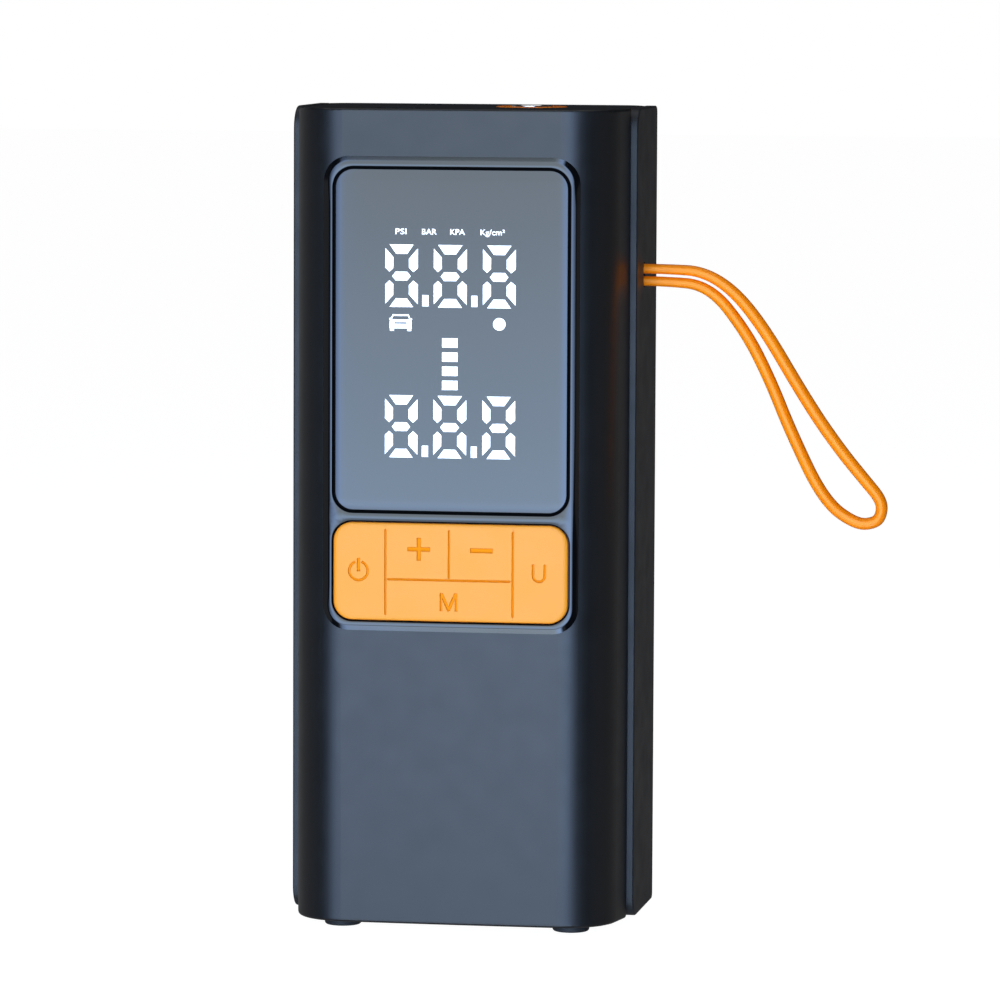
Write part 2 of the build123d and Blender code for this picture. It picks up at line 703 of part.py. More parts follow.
with BuildPart() as shaft_clip:
    with BuildSketch(at_x(4.35)):
        with Locations((YC, ZG)):
            Circle(3.1)
            Circle(1.65, mode=Mode.SUBTRACT)
        with Locations((YC, ZG + 3)):
            Rectangle(1.8, 4.0, mode=Mode.SUBTRACT)
    extrude(amount=0.5)
shaft_clip.part.label = "shaft_clip"
export_step(shaft_clip.part, "parts/shaft_clip.step")

with BuildPart() as crank_bearing:
    with BuildSketch(at_x(-3.2)):
        with Locations((YC, ZG)):
            Circle(3.5)
            Circle(2.05, mode=Mode.SUBTRACT)
    extrude(amount=7.2)
crank_bearing.part.label = "crank_bearing"
export_step(crank_bearing.part, "parts/crank_bearing.step")

with BuildPart() as gear_frame:
    with BuildSketch(at_x(-3.2)) as plate:
        with Locations((YC, 117.0)):
            RectangleRounded(26.0, 66.0, 3.0)
        with Locations((15.5, 123.0)):
            Rectangle(8.0, 22.0)
    extrude(amount=2.0)
    with BuildSketch(at_x(-1.3)):
        with Locations((YC, ZG)):
            Circle(5.1)
    extrude(amount=5.2)
    with BuildSketch(at_y(17.5)):
        with Locations((5.4, 123.0)):
            Rectangle(17.2, 22.0)
    extrude(amount=-2.0)
    with BuildSketch(at_y(17.0)):
        with Locations((8.0, 118.0), (8.0, 129.0)):
            Circle(1.35)
    extrude(amount=-4.0, mode=Mode.SUBTRACT)
    with BuildSketch(at_x(-4.0)):
        with Locations((YC, ZM)):
            Circle(3.15)
        with Locations((YC - 8, ZM), (YC + 8, ZM), (YC - 10.2, 140.0), (YC + 10.2, 140.0)):
            Circle(1.35)
        with Locations((YC, ZG)):
            Circle(3.52)
    extrude(amount=9.0, mode=Mode.SUBTRACT)
gear_frame.part.label = "gear_frame"
export_step(gear_frame.part, "parts/gear_frame.step")

with BuildPart() as motor_cradle:
    with BuildSketch(at_x(6.0)):
        with Locations((19.4, ZM)):
            Rectangle(6.6, 18.0)
        with Locations((YC, ZM)):
            Circle(12.25, mode=Mode.SUBTRACT)
    extrude(amount=18.0)
motor_cradle.part.label = "motor_cradle"
export_step(motor_cradle.part, "parts/motor_cradle.step")

# ------------------------------------------------------------ cylinder, head, piston, rod
LUGS = [(XP - 8.4, YC - 8.4), (XP + 8.4, YC + 8.4)]
with BuildPart() as cylinder:
    with BuildSketch(at_z(131.6)):
        with Locations((XP, YC)):
            Circle(9.4)
    extrude(amount=21.8)
    for z in (134.0, 137.0, 140.0, 143.0, 146.0):
        with BuildSketch(at_z(z)):
            with Locations((XP - 1.5, YC)):
                Circle(10.2)
            with Locations((XP + 10.5, YC)):
                Rectangle(8.0, 30.0, mode=Mode.SUBTRACT)
        extrude(amount=1.2)
    with BuildSketch(at_x(-9.0)):
        with Locations((YC, 143.0)):
            RectangleRounded(25.0, 14.0, 2.0)
    extrude(amount=5.75)
    with BuildSketch(at_z(150.3)):
        with Locations(*LUGS):
            Circle(2.9)
    extrude(amount=3.1)
    with BuildSketch(at_z(130.0)):
        with Locations((XP, YC)):
            Circle(BORE_R)
    extrude(amount=30, mode=Mode.SUBTRACT)
    with BuildSketch(at_z(150.0)):
        with Locations(*LUGS):
            Circle(1.25)
    extrude(amount=6, mode=Mode.SUBTRACT)
    with BuildSketch(at_x(-8.6)):
        with Locations((YC - 10.2, 140.0), (YC + 10.2, 140.0)):
            Circle(1.25)
    extrude(amount=6, mode=Mode.SUBTRACT)
cylinder.part.label = "cylinder"
export_step(cylinder.part, "parts/cylinder.step")

with BuildPart() as cylinder_head:
    with BuildSketch(at_z(153.45)):
        with Locations((XP, YC)):
            Circle(9.4)
    extrude(amount=6.8)
    with BuildSketch(at_z(153.45)):
        with Locations(*LUGS):
            Circle(2.9)
    extrude(amount=2.55)
    with BuildSketch(at_x(XP)):
        with Locations((YC, 156.7)):
            Circle(1.9)
    extrude(amount=16.8)
    with BuildSketch(at_y(YC)):
        with Locations((XP, 156.7)):
            Circle(1.4)
    extrude(amount=11.6)
    with BuildSketch(at_z(155.0)):
        with Locations((XP, YC)):
            Circle(7.4)
    extrude(amount=3.7, mode=Mode.SUBTRACT)
    with BuildSketch(at_z(150)):
        with Locations((XP, YC)):
            Circle(1.5)
    extrude(amount=6, mode=Mode.SUBTRACT)
    with BuildSketch(at_x(XP)):
        with Locations((YC, 156.7)):
            Circle(1.0)
    extrude(amount=20, mode=Mode.SUBTRACT)
    with BuildSketch(at_y(YC)):
        with Locations((XP, 156.7)):
            Circle(0.6)
    extrude(amount=15, mode=Mode.SUBTRACT)
    with BuildSketch(at_z(150.0)):
        with Locations(*LUGS):
            Circle(1.3)
    extrude(amount=8, mode=Mode.SUBTRACT)
cylinder_head.part.label = "cylinder_head"
export_step(cylinder_head.part, "parts/cylinder_head.step")

with BuildPart() as valve_leaf:
    with BuildSketch(at_z(155.02)):
        with Locations((XP, YC)):
            Circle(3.0)
        with Locations((XP - 3.5, YC)):
            Rectangle(5.0, 2.4)
    extrude(amount=0.25)
valve_leaf.part.label = "valve_leaf"
export_step(valve_leaf.part, "parts/valve_leaf.step")

with BuildPart() as piston:
    with BuildSketch(at_z(Z_WRIST - 4.0)):
        with Locations((XP, YC)):
            Circle(BORE_R - 0.06)
    extrude(amount=9.0)
    with BuildSketch(at_z(Z_WRIST - 4.0)):
        with Locations((XP, YC)):
            Circle(6.2)
    extrude(amount=7.1, mode=Mode.SUBTRACT)
    with BuildSketch(at_x(XP)) as bosses:
        with Locations((YC, Z_WRIST)):
            Circle(2.4)
    extrude(amount=7.0)
    with BuildSketch(at_x(XP)):
        with Locations((YC, Z_WRIST)):
            Circle(2.4)
    extrude(amount=-7.0)
    with BuildSketch(at_x(XP - 2.15)):
        with Locations((YC, Z_WRIST - 0.55)):
            Rectangle(11.9, 7.2)
    extrude(amount=4.3, mode=Mode.SUBTRACT)
    with BuildSketch(at_x(XP - 10)):
        with Locations((YC, Z_WRIST)):
            Circle(1.25)
    extrude(amount=20, mode=Mode.SUBTRACT)
    with BuildSketch(at_z(Z_WRIST + 3.55)):
        with Locations((XP, YC)):
            Circle(BORE_R + 1)
            Circle(7.2, mode=Mode.SUBTRACT)
    extrude(amount=0.8, mode=Mode.SUBTRACT)
piston.part.label = "piston"
export_step(piston.part, "parts/piston.step")

with BuildPart() as piston_seal:
    with BuildSketch(at_z(Z_WRIST + 3.6)):
        with Locations((XP, YC)):
            Circle(BORE_R - 0.03)
            Circle(7.25, mode=Mode.SUBTRACT)
    extrude(amount=0.7)
piston_seal.part.label = "piston_seal"
export_step(piston_seal.part, "parts/piston_seal.step")

with BuildPart() as wrist_pin:
    with BuildSketch(at_x(XP - 7.4)):
        with Locations((YC, Z_WRIST)):
            Circle(1.25)
    extrude(amount=14.8)
wrist_pin.part.label = "wrist_pin"
export_step(wrist_pin.part, "parts/wrist_pin.step")

Z_PIN = ZG - CRANK_R
with BuildPart() as connecting_rod:
    with BuildSketch(at_x(XP - 1.8)):
        with Locations((YC, Z_WRIST)):
            Circle(2.6)
        with Locations((YC, Z_PIN)):
            Circle(3.8)
        with Locations((YC, (Z_WRIST + Z_PIN) / 2)):
            Rectangle(3.2, Z_WRIST - Z_PIN)
        with Locations((YC, Z_WRIST)):
            Circle(1.30, mode=Mode.SUBTRACT)
        with Locations((YC, Z_PIN)):
            Circle(1.52, mode=Mode.SUBTRACT)
    extrude(amount=3.6)
connecting_rod.part.label = "connecting_rod"
export_step(connecting_rod.part, "parts/connecting_rod.step")

with BuildPart() as crank_pin:
    with BuildSketch(at_x(-8.9)):
        with Locations((YC, Z_PIN)):
            Circle(1.5)
    extrude(amount=-5.9)
    with BuildSketch(at_x(-14.8)):
        with Locations((YC, Z_PIN)):
            Circle(2.2)
    extrude(amount=-0.6)
crank_pin.part.label = "crank_pin"
export_step(crank_pin.part, "parts/crank_pin.step")

with BuildPart() as compressor_screws:
    for base, away, spots in (
        (at_x(-1.2), 1, [(YC - 10.2, 140.0), (YC + 10.2, 140.0)]),
        (at_x(-3.2), -1, [(YC - 8, ZM), (YC + 8, ZM)]),
        (at_z(156.0), 1, LUGS),
        (at_y(17.5), 1, [(8.0, 118.0), (8.0, 129.0)]),
    ):
        with BuildSketch(base):
            with Locations(*spots):
                Circle(2.25)
                RegularPolygon(1.1, 6, mode=Mode.SUBTRACT)
        extrude(amount=away * 1.4)
        with BuildSketch(base):
            with Locations(*spots):
                Circle(2.25)
        extrude(amount=away * 0.6)
        with BuildSketch(base):
            with Locations(*spots):
                Circle(1.2)
        extrude(amount=-away * 5.2)
compressor_screws.part.label = "compressor_screws"
export_step(compressor_screws.part, "parts/compressor_screws.step")

# ------------------------------------------------------------ air tube
with BuildPart() as air_tube:
    with BuildLine() as tube_path:
        FilletPolyline((-1.6, YC, 156.7), (XN, YC, 156.7), (XN, YC, 169.6), radius=5.8)
    with BuildSketch(Plane(origin=(-1.6, YC, 156.7), z_dir=(1, 0, 0))):
        Circle(3.0)
        Circle(1.95, mode=Mode.SUBTRACT)
    sweep(path=tube_path.line)
air_tube.part.label = "air_tube"
export_step(air_tube.part, "parts/air_tube.step")

# ------------------------------------------------------------ case screws, feet
with BuildPart() as case_screws:
    with BuildSketch(at_y(8.0)):
        with Locations(*BOSS_XZ):
            Circle(2.7)
            RegularPolygon(1.3, 6, mode=Mode.SUBTRACT)
    extrude(amount=-2.2)
    with BuildSketch(at_y(8.0)):
        with Locations(*BOSS_XZ):
            Circle(2.7)
    extrude(amount=-1.0)
    with BuildSketch(at_y(8.0)):
        with Locations(*BOSS_XZ):
            Circle(1.5)
    extrude(amount=24.5)
case_screws.part.label = "case_screws"
export_step(case_screws.part, "parts/case_screws.step")

with BuildPart() as feet:
    with BuildSketch(at_z(0)):
        with Locations(*FOOT_XY):
            Circle(4.05)
    extrude(amount=FOOT_H)
    fillet(feet.edges().group_by(Axis.Z)[0], 0.6)
feet.part.label = "feet"
export_step(feet.part, "parts/feet.step")

# ------------------------------------------------------------ lanyard
with BuildPart() as lanyard_anchor:
    with BuildSketch(at_x(29.4)):
        with Locations((YC + 0.1, Z0 + 141.3)):
            RectangleRounded(8.0, 10.0, 1.5)
    extrude(amount=4.2)
lanyard_anchor.part.label = "lanyard_anchor"
export_step(lanyard_anchor.part, "parts/lanyard_anchor.step")

# Route of the cord (x, height above the case's lower edge), from the anchor out and back.
CORD_ROUTE = [
    (33.6, 142.65), (42.6, 142.65), (52.8, 142.1), (62.4, 133.9), (75.1, 112.8), (82.1, 103.1),
    (87.4, 96.8), (90.9, 92.7), (91.5, 89.9), (90.0, 87.5), (85.5, 87.0), (78.3, 92.2),
    (70.8, 107.5), (66.3, 118.5), (60.9, 129.0), (52.7, 139.1), (42.5, 139.95), (33.6, 139.95),
]
CORD_Y = YC + 0.1
route = [Vector(x, CORD_Y, Z0 + z) for x, z in CORD_ROUTE]
radii = []
for a, b, c in zip(route, route[1:], route[2:]):
    turn = (b - a).get_angle(c - b)
    radii.append(0.45 * min((b - a).length, (c - b).length) / tan(radians(turn) / 2))
print("cord radii", [round(r, 1) for r in radii])
with BuildPart() as lanyard_cord:
    with BuildLine() as cord_path:
        FilletPolyline(*route, radius=radii)
    with BuildSketch(Plane(origin=route[0], z_dir=(1, 0, 0))):
        Circle(CORD_D / 2)
    sweep(path=cord_path.line)
cord_length = sum(e.length for e in cord_path.edges())
print("cord length", round(cord_length, 1), "volume", round(lanyard_cord.part.volume, 1),
      "section x length", round(pi * CORD_D**2 / 4 * cord_length, 1))
lanyard_cord.part.label = "lanyard_cord"
export_step(lanyard_cord.part, "parts/lanyard_cord.step")
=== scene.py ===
import bpy, bmesh
from math import acos, asin, atan2, ceil, cos, degrees, hypot, pi, radians, sin, sqrt, tan
from mathutils import Vector, Matrix
from mathutils.geometry import delaunay_2d_cdt


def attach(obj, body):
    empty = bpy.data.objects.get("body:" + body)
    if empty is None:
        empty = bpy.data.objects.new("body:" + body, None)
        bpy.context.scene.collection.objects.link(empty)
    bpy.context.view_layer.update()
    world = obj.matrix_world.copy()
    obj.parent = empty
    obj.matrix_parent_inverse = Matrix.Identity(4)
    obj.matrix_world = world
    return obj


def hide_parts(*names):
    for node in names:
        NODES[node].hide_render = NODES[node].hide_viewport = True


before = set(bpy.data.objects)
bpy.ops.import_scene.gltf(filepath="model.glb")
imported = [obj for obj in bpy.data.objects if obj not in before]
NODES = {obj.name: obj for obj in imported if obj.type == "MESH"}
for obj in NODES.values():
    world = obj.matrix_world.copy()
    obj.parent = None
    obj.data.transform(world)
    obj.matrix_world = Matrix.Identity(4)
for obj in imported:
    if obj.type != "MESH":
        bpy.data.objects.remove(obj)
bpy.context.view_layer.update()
scene = bpy.context.scene
MM = 0.001


def link(obj):
    scene.collection.objects.link(obj)
    return obj


# ------------------------------------------------------------------ camera
def make_camera():
    a0, yaw, pitch, roll = radians(10.0687), radians(-0.4732), radians(5.0981), radians(0.2541)
    dist, height = 1313.7908, 212.5093
    place = Vector((sin(a0) * dist, -cos(a0) * dist - 23.83, height)) * MM
    a = a0 + yaw
    fwd = Vector((-sin(a) * cos(pitch), cos(a) * cos(pitch), -sin(pitch)))
    right = Vector((cos(a), sin(a), 0.0))
    up = right.cross(fwd)
    right2 = right * cos(roll) + up * sin(roll)
    up2 = -right * sin(roll) + up * cos(roll)
    data = bpy.data.cameras.new("camera")
    data.sensor_width = 36.0
    data.lens = 6074.8413 * 36.0 / 1000.0
    data.clip_start, data.clip_end = 0.05, 200.0
    cam = link(bpy.data.objects.new("camera", data))
    m = Matrix((right2, up2, -fwd)).transposed().to_4x4()
    m.translation = place
    cam.matrix_world = m
    scene.camera = cam


make_camera()

# ------------------------------------------------------------------ lanyard cord
CORD_D = 2.6
CORD_Y = 4.27
CORD_ROUTE = [
    (33.6, 142.65), (42.6, 142.65), (52.8, 142.1), (62.4, 133.9), (75.1, 112.8), (82.1, 103.1),
    (87.4, 96.8), (90.9, 92.7), (91.25, 89.9), (90.0, 87.5), (85.5, 87.0), (78.3, 92.2),
    (70.8, 107.5), (66.3, 118.5), (60.9, 129.0), (52.7, 139.1), (42.5, 139.95), (33.6, 139.95),
]
# the soft cord is squeezed where the two strands share the opening and swells further out
CORD_SWELL = [0.82, 0.84, 0.93, 1.06, 1.08, 1.06, 1.04, 1.02, 1.0, 1.0, 1.02, 1.04, 1.05, 1.04, 1.03, 0.93, 0.83, 0.82]


def make_cord():
    cu = bpy.data.curves.new("wrist_cord", "CURVE")
    cu.dimensions = "3D"
    sp = cu.splines.new("NURBS")
    sp.points.add(len(CORD_ROUTE) - 1)
    for p, (x, z), swell in zip(sp.points, CORD_ROUTE, CORD_SWELL):
        p.co = (x * MM, CORD_Y * MM, (z + 2.0) * MM, 1.0)
        p.radius = CORD_D / 2 * MM * swell
    sp.order_u = 3
    sp.use_endpoint_u = True
    sp.resolution_u = 40
    cu.bevel_depth = 1.0  # times each point's radius, which carries half the cord's diameter
    cu.bevel_resolution = 16
    cu.use_fill_caps = True
    ob = link(bpy.data.objects.new("wrist_cord", cu))
    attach(ob, "housing")
    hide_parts("lanyard_cord")
    return ob


CORD = make_cord()


# ------------------------------------------------------------------ materials
def nodes_of(name):
    mat = bpy.data.materials.new(name)
    mat.use_nodes = True
    nt = mat.node_tree
    bsdf = nt.nodes["Principled BSDF"]
    return mat, nt, bsdf


def ramp(nt, fac, stops):
    r = nt.nodes.new("ShaderNodeValToRGB")
    el = r.color_ramp.elements
    while len(el) < len(stops):
        el.new(0.5)
    for e, (pos, col) in zip(el, stops):
        e.position = pos
        e.color = col if len(col) == 4 else (*col, 1.0)
    nt.links.new(fac, r.inputs["Fac"])
    return r.outputs["Color"]


def noise_tex(nt, scale, detail=2.0, rough=0.5, stretch=None, kind="Object"):
    co = nt.nodes.new("ShaderNodeTexCoord").outputs[kind]
    if stretch:
        mp = nt.nodes.new("ShaderNodeMapping")
        mp.inputs["Scale"].default_value = stretch
        nt.links.new(co, mp.inputs["Vector"])
        co = mp.outputs["Vector"]
    t = nt.nodes.new("ShaderNodeTexNoise")
    t.inputs["Scale"].default_value = scale
    t.inputs["Detail"].default_value = detail
    t.inputs["Roughness"].default_value = rough
    nt.links.new(co, t.inputs["Vector"])
    return t.outputs["Fac"]


def plastic(name, colour, vary=0.12, rough=(0.36, 0.44), ior=1.5, coat=0.0, coat_rough=0.1, grain=4200.0,
            bump=0.06, bump_mm=0.02, mottling=55.0, metallic=0.0, stretch=None, specular=0.5, sheen=0.0):
    """Moulded or machined surface: colour that drifts a little, uneven gloss and a fine grain."""
    mat, nt, b = nodes_of(name)
    lo = tuple(c * (1 - vary) for c in colour)
    hi = tuple(min(1.0, c * (1 + vary)) for c in colour)
    big = noise_tex(nt, mottling, 3.0, 0.55)
    nt.links.new(ramp(nt, big, [(0.3, lo), (0.7, hi)]), b.inputs["Base Color"])
    fine = noise_tex(nt, grain, 2.0, 0.6, stretch)
    mr = nt.nodes.new("ShaderNodeMapRange")
    mr.inputs["From Min"].default_value, mr.inputs["From Max"].default_value = 0.3, 0.7
    mr.inputs["To Min"].default_value, mr.inputs["To Max"].default_value = rough
    nt.links.new(noise_tex(nt, mottling * 3.1, 3.0), mr.inputs["Value"])
    nt.links.new(mr.outputs["Result"], b.inputs["Roughness"])
    bm = nt.nodes.new("ShaderNodeBump")
    bm.inputs["Strength"].default_value = bump
    bm.inputs["Distance"].default_value = bump_mm * MM
    nt.links.new(fine, bm.inputs["Height"])
    nt.links.new(bm.outputs["Normal"], b.inputs["Normal"])
    b.inputs["IOR"].default_value = ior
    b.inputs["Metallic"].default_value = metallic
    b.inputs["Specular IOR Level"].default_value = specular
    if coat:
        b.inputs["Coat Weight"].default_value = coat
        b.inputs["Coat Roughness"].default_value = coat_rough
        b.inputs["Coat IOR"].default_value = 1.5
    if sheen:
        b.inputs["Sheen Weight"].default_value = sheen
        b.inputs["Sheen Roughness"].default_value = 0.4
    return mat


def paint_edge_shade(mat, shade_tint, lo, hi):
    """Painted shade: the colour is multiplied by a deeper tint where the surface turns away from the view, standing in
    for the shade on rounded edges.
    """
    nt = mat.node_tree
    base = nt.nodes["Principled BSDF"].inputs["Base Color"]
    source = base.links[0].from_socket
    lw = nt.nodes.new("ShaderNodeLayerWeight")
    mr = nt.nodes.new("ShaderNodeMapRange")
    mr.inputs["From Min"].default_value, mr.inputs["From Max"].default_value = lo, hi
    nt.links.new(lw.outputs["Facing"], mr.inputs["Value"])
    mix = nt.nodes.new("ShaderNodeMix")
    mix.data_type, mix.blend_type = "RGBA", "MULTIPLY"
    nt.links.new(mr.outputs["Result"], mix.inputs[0])
    nt.links.new(source, mix.inputs[6])
    mix.inputs[7].default_value = (*shade_tint, 1.0)
    nt.links.new(mix.outputs[2], base)


M = {}
M["case"] = plastic("case_satin", (0.0060, 0.0057, 0.0055), 0.10, (0.335, 0.39), 1.5, grain=5200.0, bump=0.05)
M["case"].node_tree.nodes["Principled BSDF"].inputs["Specular Tint"].default_value = (1.0, 0.985, 0.965, 1.0)
M["case_side"] = plastic("case_side_satin", (0.0105, 0.0100, 0.0098), 0.10, (0.46, 0.54), 1.45, grain=5200.0, bump=0.08)
M["cover"] = plastic("cover_textured", (0.0060, 0.0060, 0.0060), 0.15, (0.62, 0.72), 1.45, grain=2600.0, bump=0.5,
                     bump_mm=0.05, specular=0.35)
M["bezel"] = plastic("bezel_gloss", (0.0022, 0.0023, 0.0026), 0.08, (0.085, 0.12), 1.62, grain=1500.0, bump=0.01, bump_mm=0.01)
M["lens"] = plastic("display_window", (0.0135, 0.0150, 0.0170), 0.05, (0.045, 0.07), 1.61, grain=900.0, bump=0.006,
                    bump_mm=0.01)
M["key"] = plastic("key_orange", (0.86, 0.286, 0.012), 0.012, (0.42, 0.50), 1.45, grain=4200.0, bump=0.10, mottling=40.0)
M["key_cut"] = plastic("key_engraving", (0.80, 0.235, 0.001), 0.03, (0.55, 0.65), 1.40, grain=4200.0, bump=0.1, specular=0.1)
# painted shade: the keys' orange is deepened where their rounded edges turn away from the view
paint_edge_shade(M["key"], (0.93, 0.62, 0.42), 0.22, 0.62)
M["ring"] = plastic("ring_orange", (0.72, 0.15, 0.003), 0.03, (0.28, 0.36), 1.48, grain=3200.0, bump=0.06)
M["nozzle"] = plastic("nozzle_plated", (0.83, 0.82, 0.80), 0.03, (0.12, 0.20), grain=900.0, bump=0.08, bump_mm=0.03,
                      metallic=1.0, stretch=(1.0, 1.0, 12.0))
M["foot"] = plastic("foot_rubber", (0.012, 0.012, 0.012), 0.2, (0.62, 0.75), 1.45, grain=2200.0, bump=0.3, bump_mm=0.05)
M["steel"] = plastic("screw_zinc", (0.42, 0.42, 0.43), 0.1, (0.24, 0.38), grain=1800.0, bump=0.15, bump_mm=0.02, metallic=1.0)
M["ground"] = plastic("ground_steel", (0.60, 0.60, 0.60), 0.05, (0.14, 0.22), grain=1500.0, bump=0.10, bump_mm=0.02,
                      metallic=1.0, stretch=(14.0, 1.0, 1.0))
M["can"] = plastic("motor_steel", (0.52, 0.51, 0.49), 0.06, (0.28, 0.36), grain=1500.0, bump=0.10, metallic=1.0)
M["port"] = plastic("port_nickel", (0.58, 0.57, 0.55), 0.06, (0.24, 0.34), grain=1800.0, bump=0.10, metallic=1.0)
M["brass"] = plastic("turned_brass", (0.66, 0.46, 0.18), 0.06, (0.20, 0.30), grain=1500.0, bump=0.12, metallic=1.0)
M["copper"] = plastic("enamelled_copper", (0.62, 0.24, 0.10), 0.15, (0.26, 0.36), grain=1200.0, bump=0.4, bump_mm=0.1,
                      metallic=1.0, stretch=(6.0, 1.0, 1.0))
M["alu"] = plastic("die_cast_aluminium", (0.52, 0.53, 0.54), 0.08, (0.42, 0.55), grain=1400.0, bump=0.25, bump_mm=0.05,
                   metallic=1.0)
M["magnet"] = plastic("sintered_magnet", (0.08, 0.08, 0.085), 0.15, (0.5, 0.62), grain=2600.0, bump=0.3, bump_mm=0.04)
M["board"] = plastic("board_solder_mask", (0.012, 0.085, 0.030), 0.15, (0.24, 0.34), 1.5, grain=1300.0, bump=0.12)
M["black"] = plastic("moulded_black", (0.016, 0.016, 0.017), 0.15, (0.42, 0.55), 1.5, grain=3000.0, bump=0.2)
M["white"] = plastic("natural_nylon", (0.70, 0.68, 0.62), 0.05, (0.40, 0.50), 1.5, grain=2600.0, bump=0.15)
M["cell"] = plastic("cell_wrap", (0.05, 0.16, 0.36), 0.08, (0.28, 0.38), 1.5, grain=900.0, bump=0.15, bump_mm=0.05)
M["rubber"] = plastic("black_rubber", (0.014, 0.014, 0.014), 0.2, (0.60, 0.72), 1.45, grain=2400.0, bump=0.3, bump_mm=0.05)
# painted shade: near-black and dull, used only to darken the bottom of the gaps round the window and the keys
M["gasket"] = plastic("gasket_foam", (0.0016, 0.0016, 0.0017), 0.2, (0.85, 0.95), 1.3, grain=2600.0, bump=0.2, specular=0.1)
M["wire"] = plastic("wire_silicone", (0.42, 0.018, 0.012), 0.08, (0.42, 0.52), 1.45, grain=2400.0, bump=0.12)


def cord_material():
    """Round cord with a smooth satin jacket, faintly uneven."""
    mat, nt, b = nodes_of("cord_jacket")
    big = noise_tex(nt, 160.0, 3.0)
    nt.links.new(ramp(nt, big, [(0.3, (0.97, 0.205, 0.001)), (0.7, (1.0, 0.222, 0.001))]), b.inputs["Base Color"])
    mr = nt.nodes.new("ShaderNodeMapRange")
    mr.inputs["To Min"].default_value, mr.inputs["To Max"].default_value = 0.24, 0.34
    nt.links.new(noise_tex(nt, 700.0, 2.0), mr.inputs["Value"])
    nt.links.new(mr.outputs["Result"], b.inputs["Roughness"])
    b.inputs["Specular IOR Level"].default_value = 0.6
    b.inputs["Specular Tint"].default_value = (1.0, 1.0, 0.40, 1.0)
    return mat


def segment_material():
    """Lit white segments under the window."""
    mat, nt, b = nodes_of("segment_white")
    col = ramp(nt, noise_tex(nt, 420.0, 2.0), [(0.25, (0.93, 0.95, 0.97)), (0.75, (1.0, 1.0, 1.0))])
    nt.links.new(col, b.inputs["Base Color"])
    nt.links.new(col, b.inputs["Emission Color"])
    b.inputs["Emission Strength"].default_value = 0.75
    b.inputs["Roughness"].default_value = 0.2
    return mat


M["cord"] = cord_material()
M["segment"] = segment_material()
CORD.data.materials.append(M["cord"])

FINISH = {
    "case": ["front_shell"],
    "case_side": ["rear_shell", "side_panel_left", "side_panel_right"],
    "cover": ["top_cover"], "bezel": ["display_bezel"], "lens": ["display_lens"],
    "key": ["key_power", "key_plus", "key_minus", "key_mode", "key_unit"],
    "ring": ["outlet_ring"], "nozzle": ["outlet_nozzle"], "foot": ["feet"],
    "steel": ["case_screws", "pcb_screws", "compressor_screws", "shaft_clip", "cell_links"],
    "ground": ["motor_shaft", "crank_shaft", "crank_pin", "wrist_pin", "motor_pinion", "valve_leaf"],
    "can": ["motor_can"], "port": ["usb_port"],
    "brass": ["outlet_nut", "crank_bearing", "sensor_tube"],
    "copper": ["motor_armature"],
    "alu": ["cylinder", "cylinder_head", "piston", "connecting_rod"],
    "magnet": ["motor_magnets"], "board": ["main_pcb", "bms_board"],
    "black": ["tact_switches", "pressure_sensor", "motor_end_cap", "battery_trays", "gear_frame", "lanyard_anchor"],
    "white": ["plunger_power", "plunger_plus", "plunger_minus", "plunger_mode", "plunger_unit", "drive_gear",
              "display_module"],
    "cell": ["battery_cells"],
    "rubber": ["motor_cradle", "piston_seal", "air_tube"],
    "wire": ["wiring"], "cord": ["lanyard_cord"],
}
for key, names in FINISH.items():
    for n in names:
        for s in NODES[n].material_slots:
            s.material = M[key]

# ------------------------------------------------------------------ the front's surface
# Crown of radius 1000 across the middle, then the 12 mm corner; heights above are along Z.
Y_FRONT, CROWN_R, CORNER_R = -24.30, 1000.0, 12.0
HALF_W, Y_SPLIT, LEAN = 36.75, -7.23, radians(10.5)


def corner_centre():
    x, y = 23.6, -12.0
    for _ in range(30):
        y = Y_FRONT + CORNER_R + x * x / (2 * CROWN_R)
        x = HALF_W - CORNER_R / cos(LEAN) - (Y_SPLIT - y) * tan(LEAN)
    return x, y


CX, CY = corner_centre()
X_TANGENT = CX + CORNER_R * CX / CROWN_R


def front_y(x, proud=0.0):
    """Y of the skin of the case's front at x, moved out by proud."""
    ax = abs(x)
    if ax <= X_TANGENT:
        return Y_FRONT + x * x / (2 * CROWN_R) - proud
    r = CORNER_R + proud
    return CY - sqrt(max(r * r - (ax - CX) ** 2, 0.0))


# ------------------------------------------------------------------ flat outlines
def rounded_sd(x, z, box):
    """Distance to a rounded rectangle's outline, negative inside."""
    x0, x1, z0, z1, r = box
    qx = abs(x - (x0 + x1) / 2) - (x1 - x0) / 2 + r
    qz = abs(z - (z0 + z1) / 2) - (z1 - z0) / 2 + r
    return hypot(max(qx, 0.0), max(qz, 0.0)) + min(max(qx, qz), 0.0) - r


def rounded_loop(box, inset=0.0, step=0.9, corner_steps=10):
    x0, x1, z0, z1, r = box
    x0, x1, z0, z1 = x0 + inset, x1 - inset, z0 + inset, z1 - inset
    r = max(r - inset, 0.05)
    pts = []
    corners = ((x1 - r, z1 - r, 0), (x0 + r, z1 - r, 90), (x0 + r, z0 + r, 180), (x1 - r, z0 + r, 270))
    for i, (cx, cz, a0) in enumerate(corners):
        arc = [(cx + r * cos(radians(a0 + 90 * k / corner_steps)), cz + r * sin(radians(a0 + 90 * k / corner_steps)))
               for k in range(corner_steps + 1)]
        pts += arc
        nx, nz, na = corners[(i + 1) % 4]
        end = (nx + r * cos(radians(na)), nz + r * sin(radians(na)))
        run = hypot(end[0] - arc[-1][0], end[1] - arc[-1][1])
        n = max(1, ceil(run / step))
        pts += [(arc[-1][0] + (end[0] - arc[-1][0]) * k / n, arc[-1][1] + (end[1] - arc[-1][1]) * k / n)
                for k in range(1, n)]
    return pts


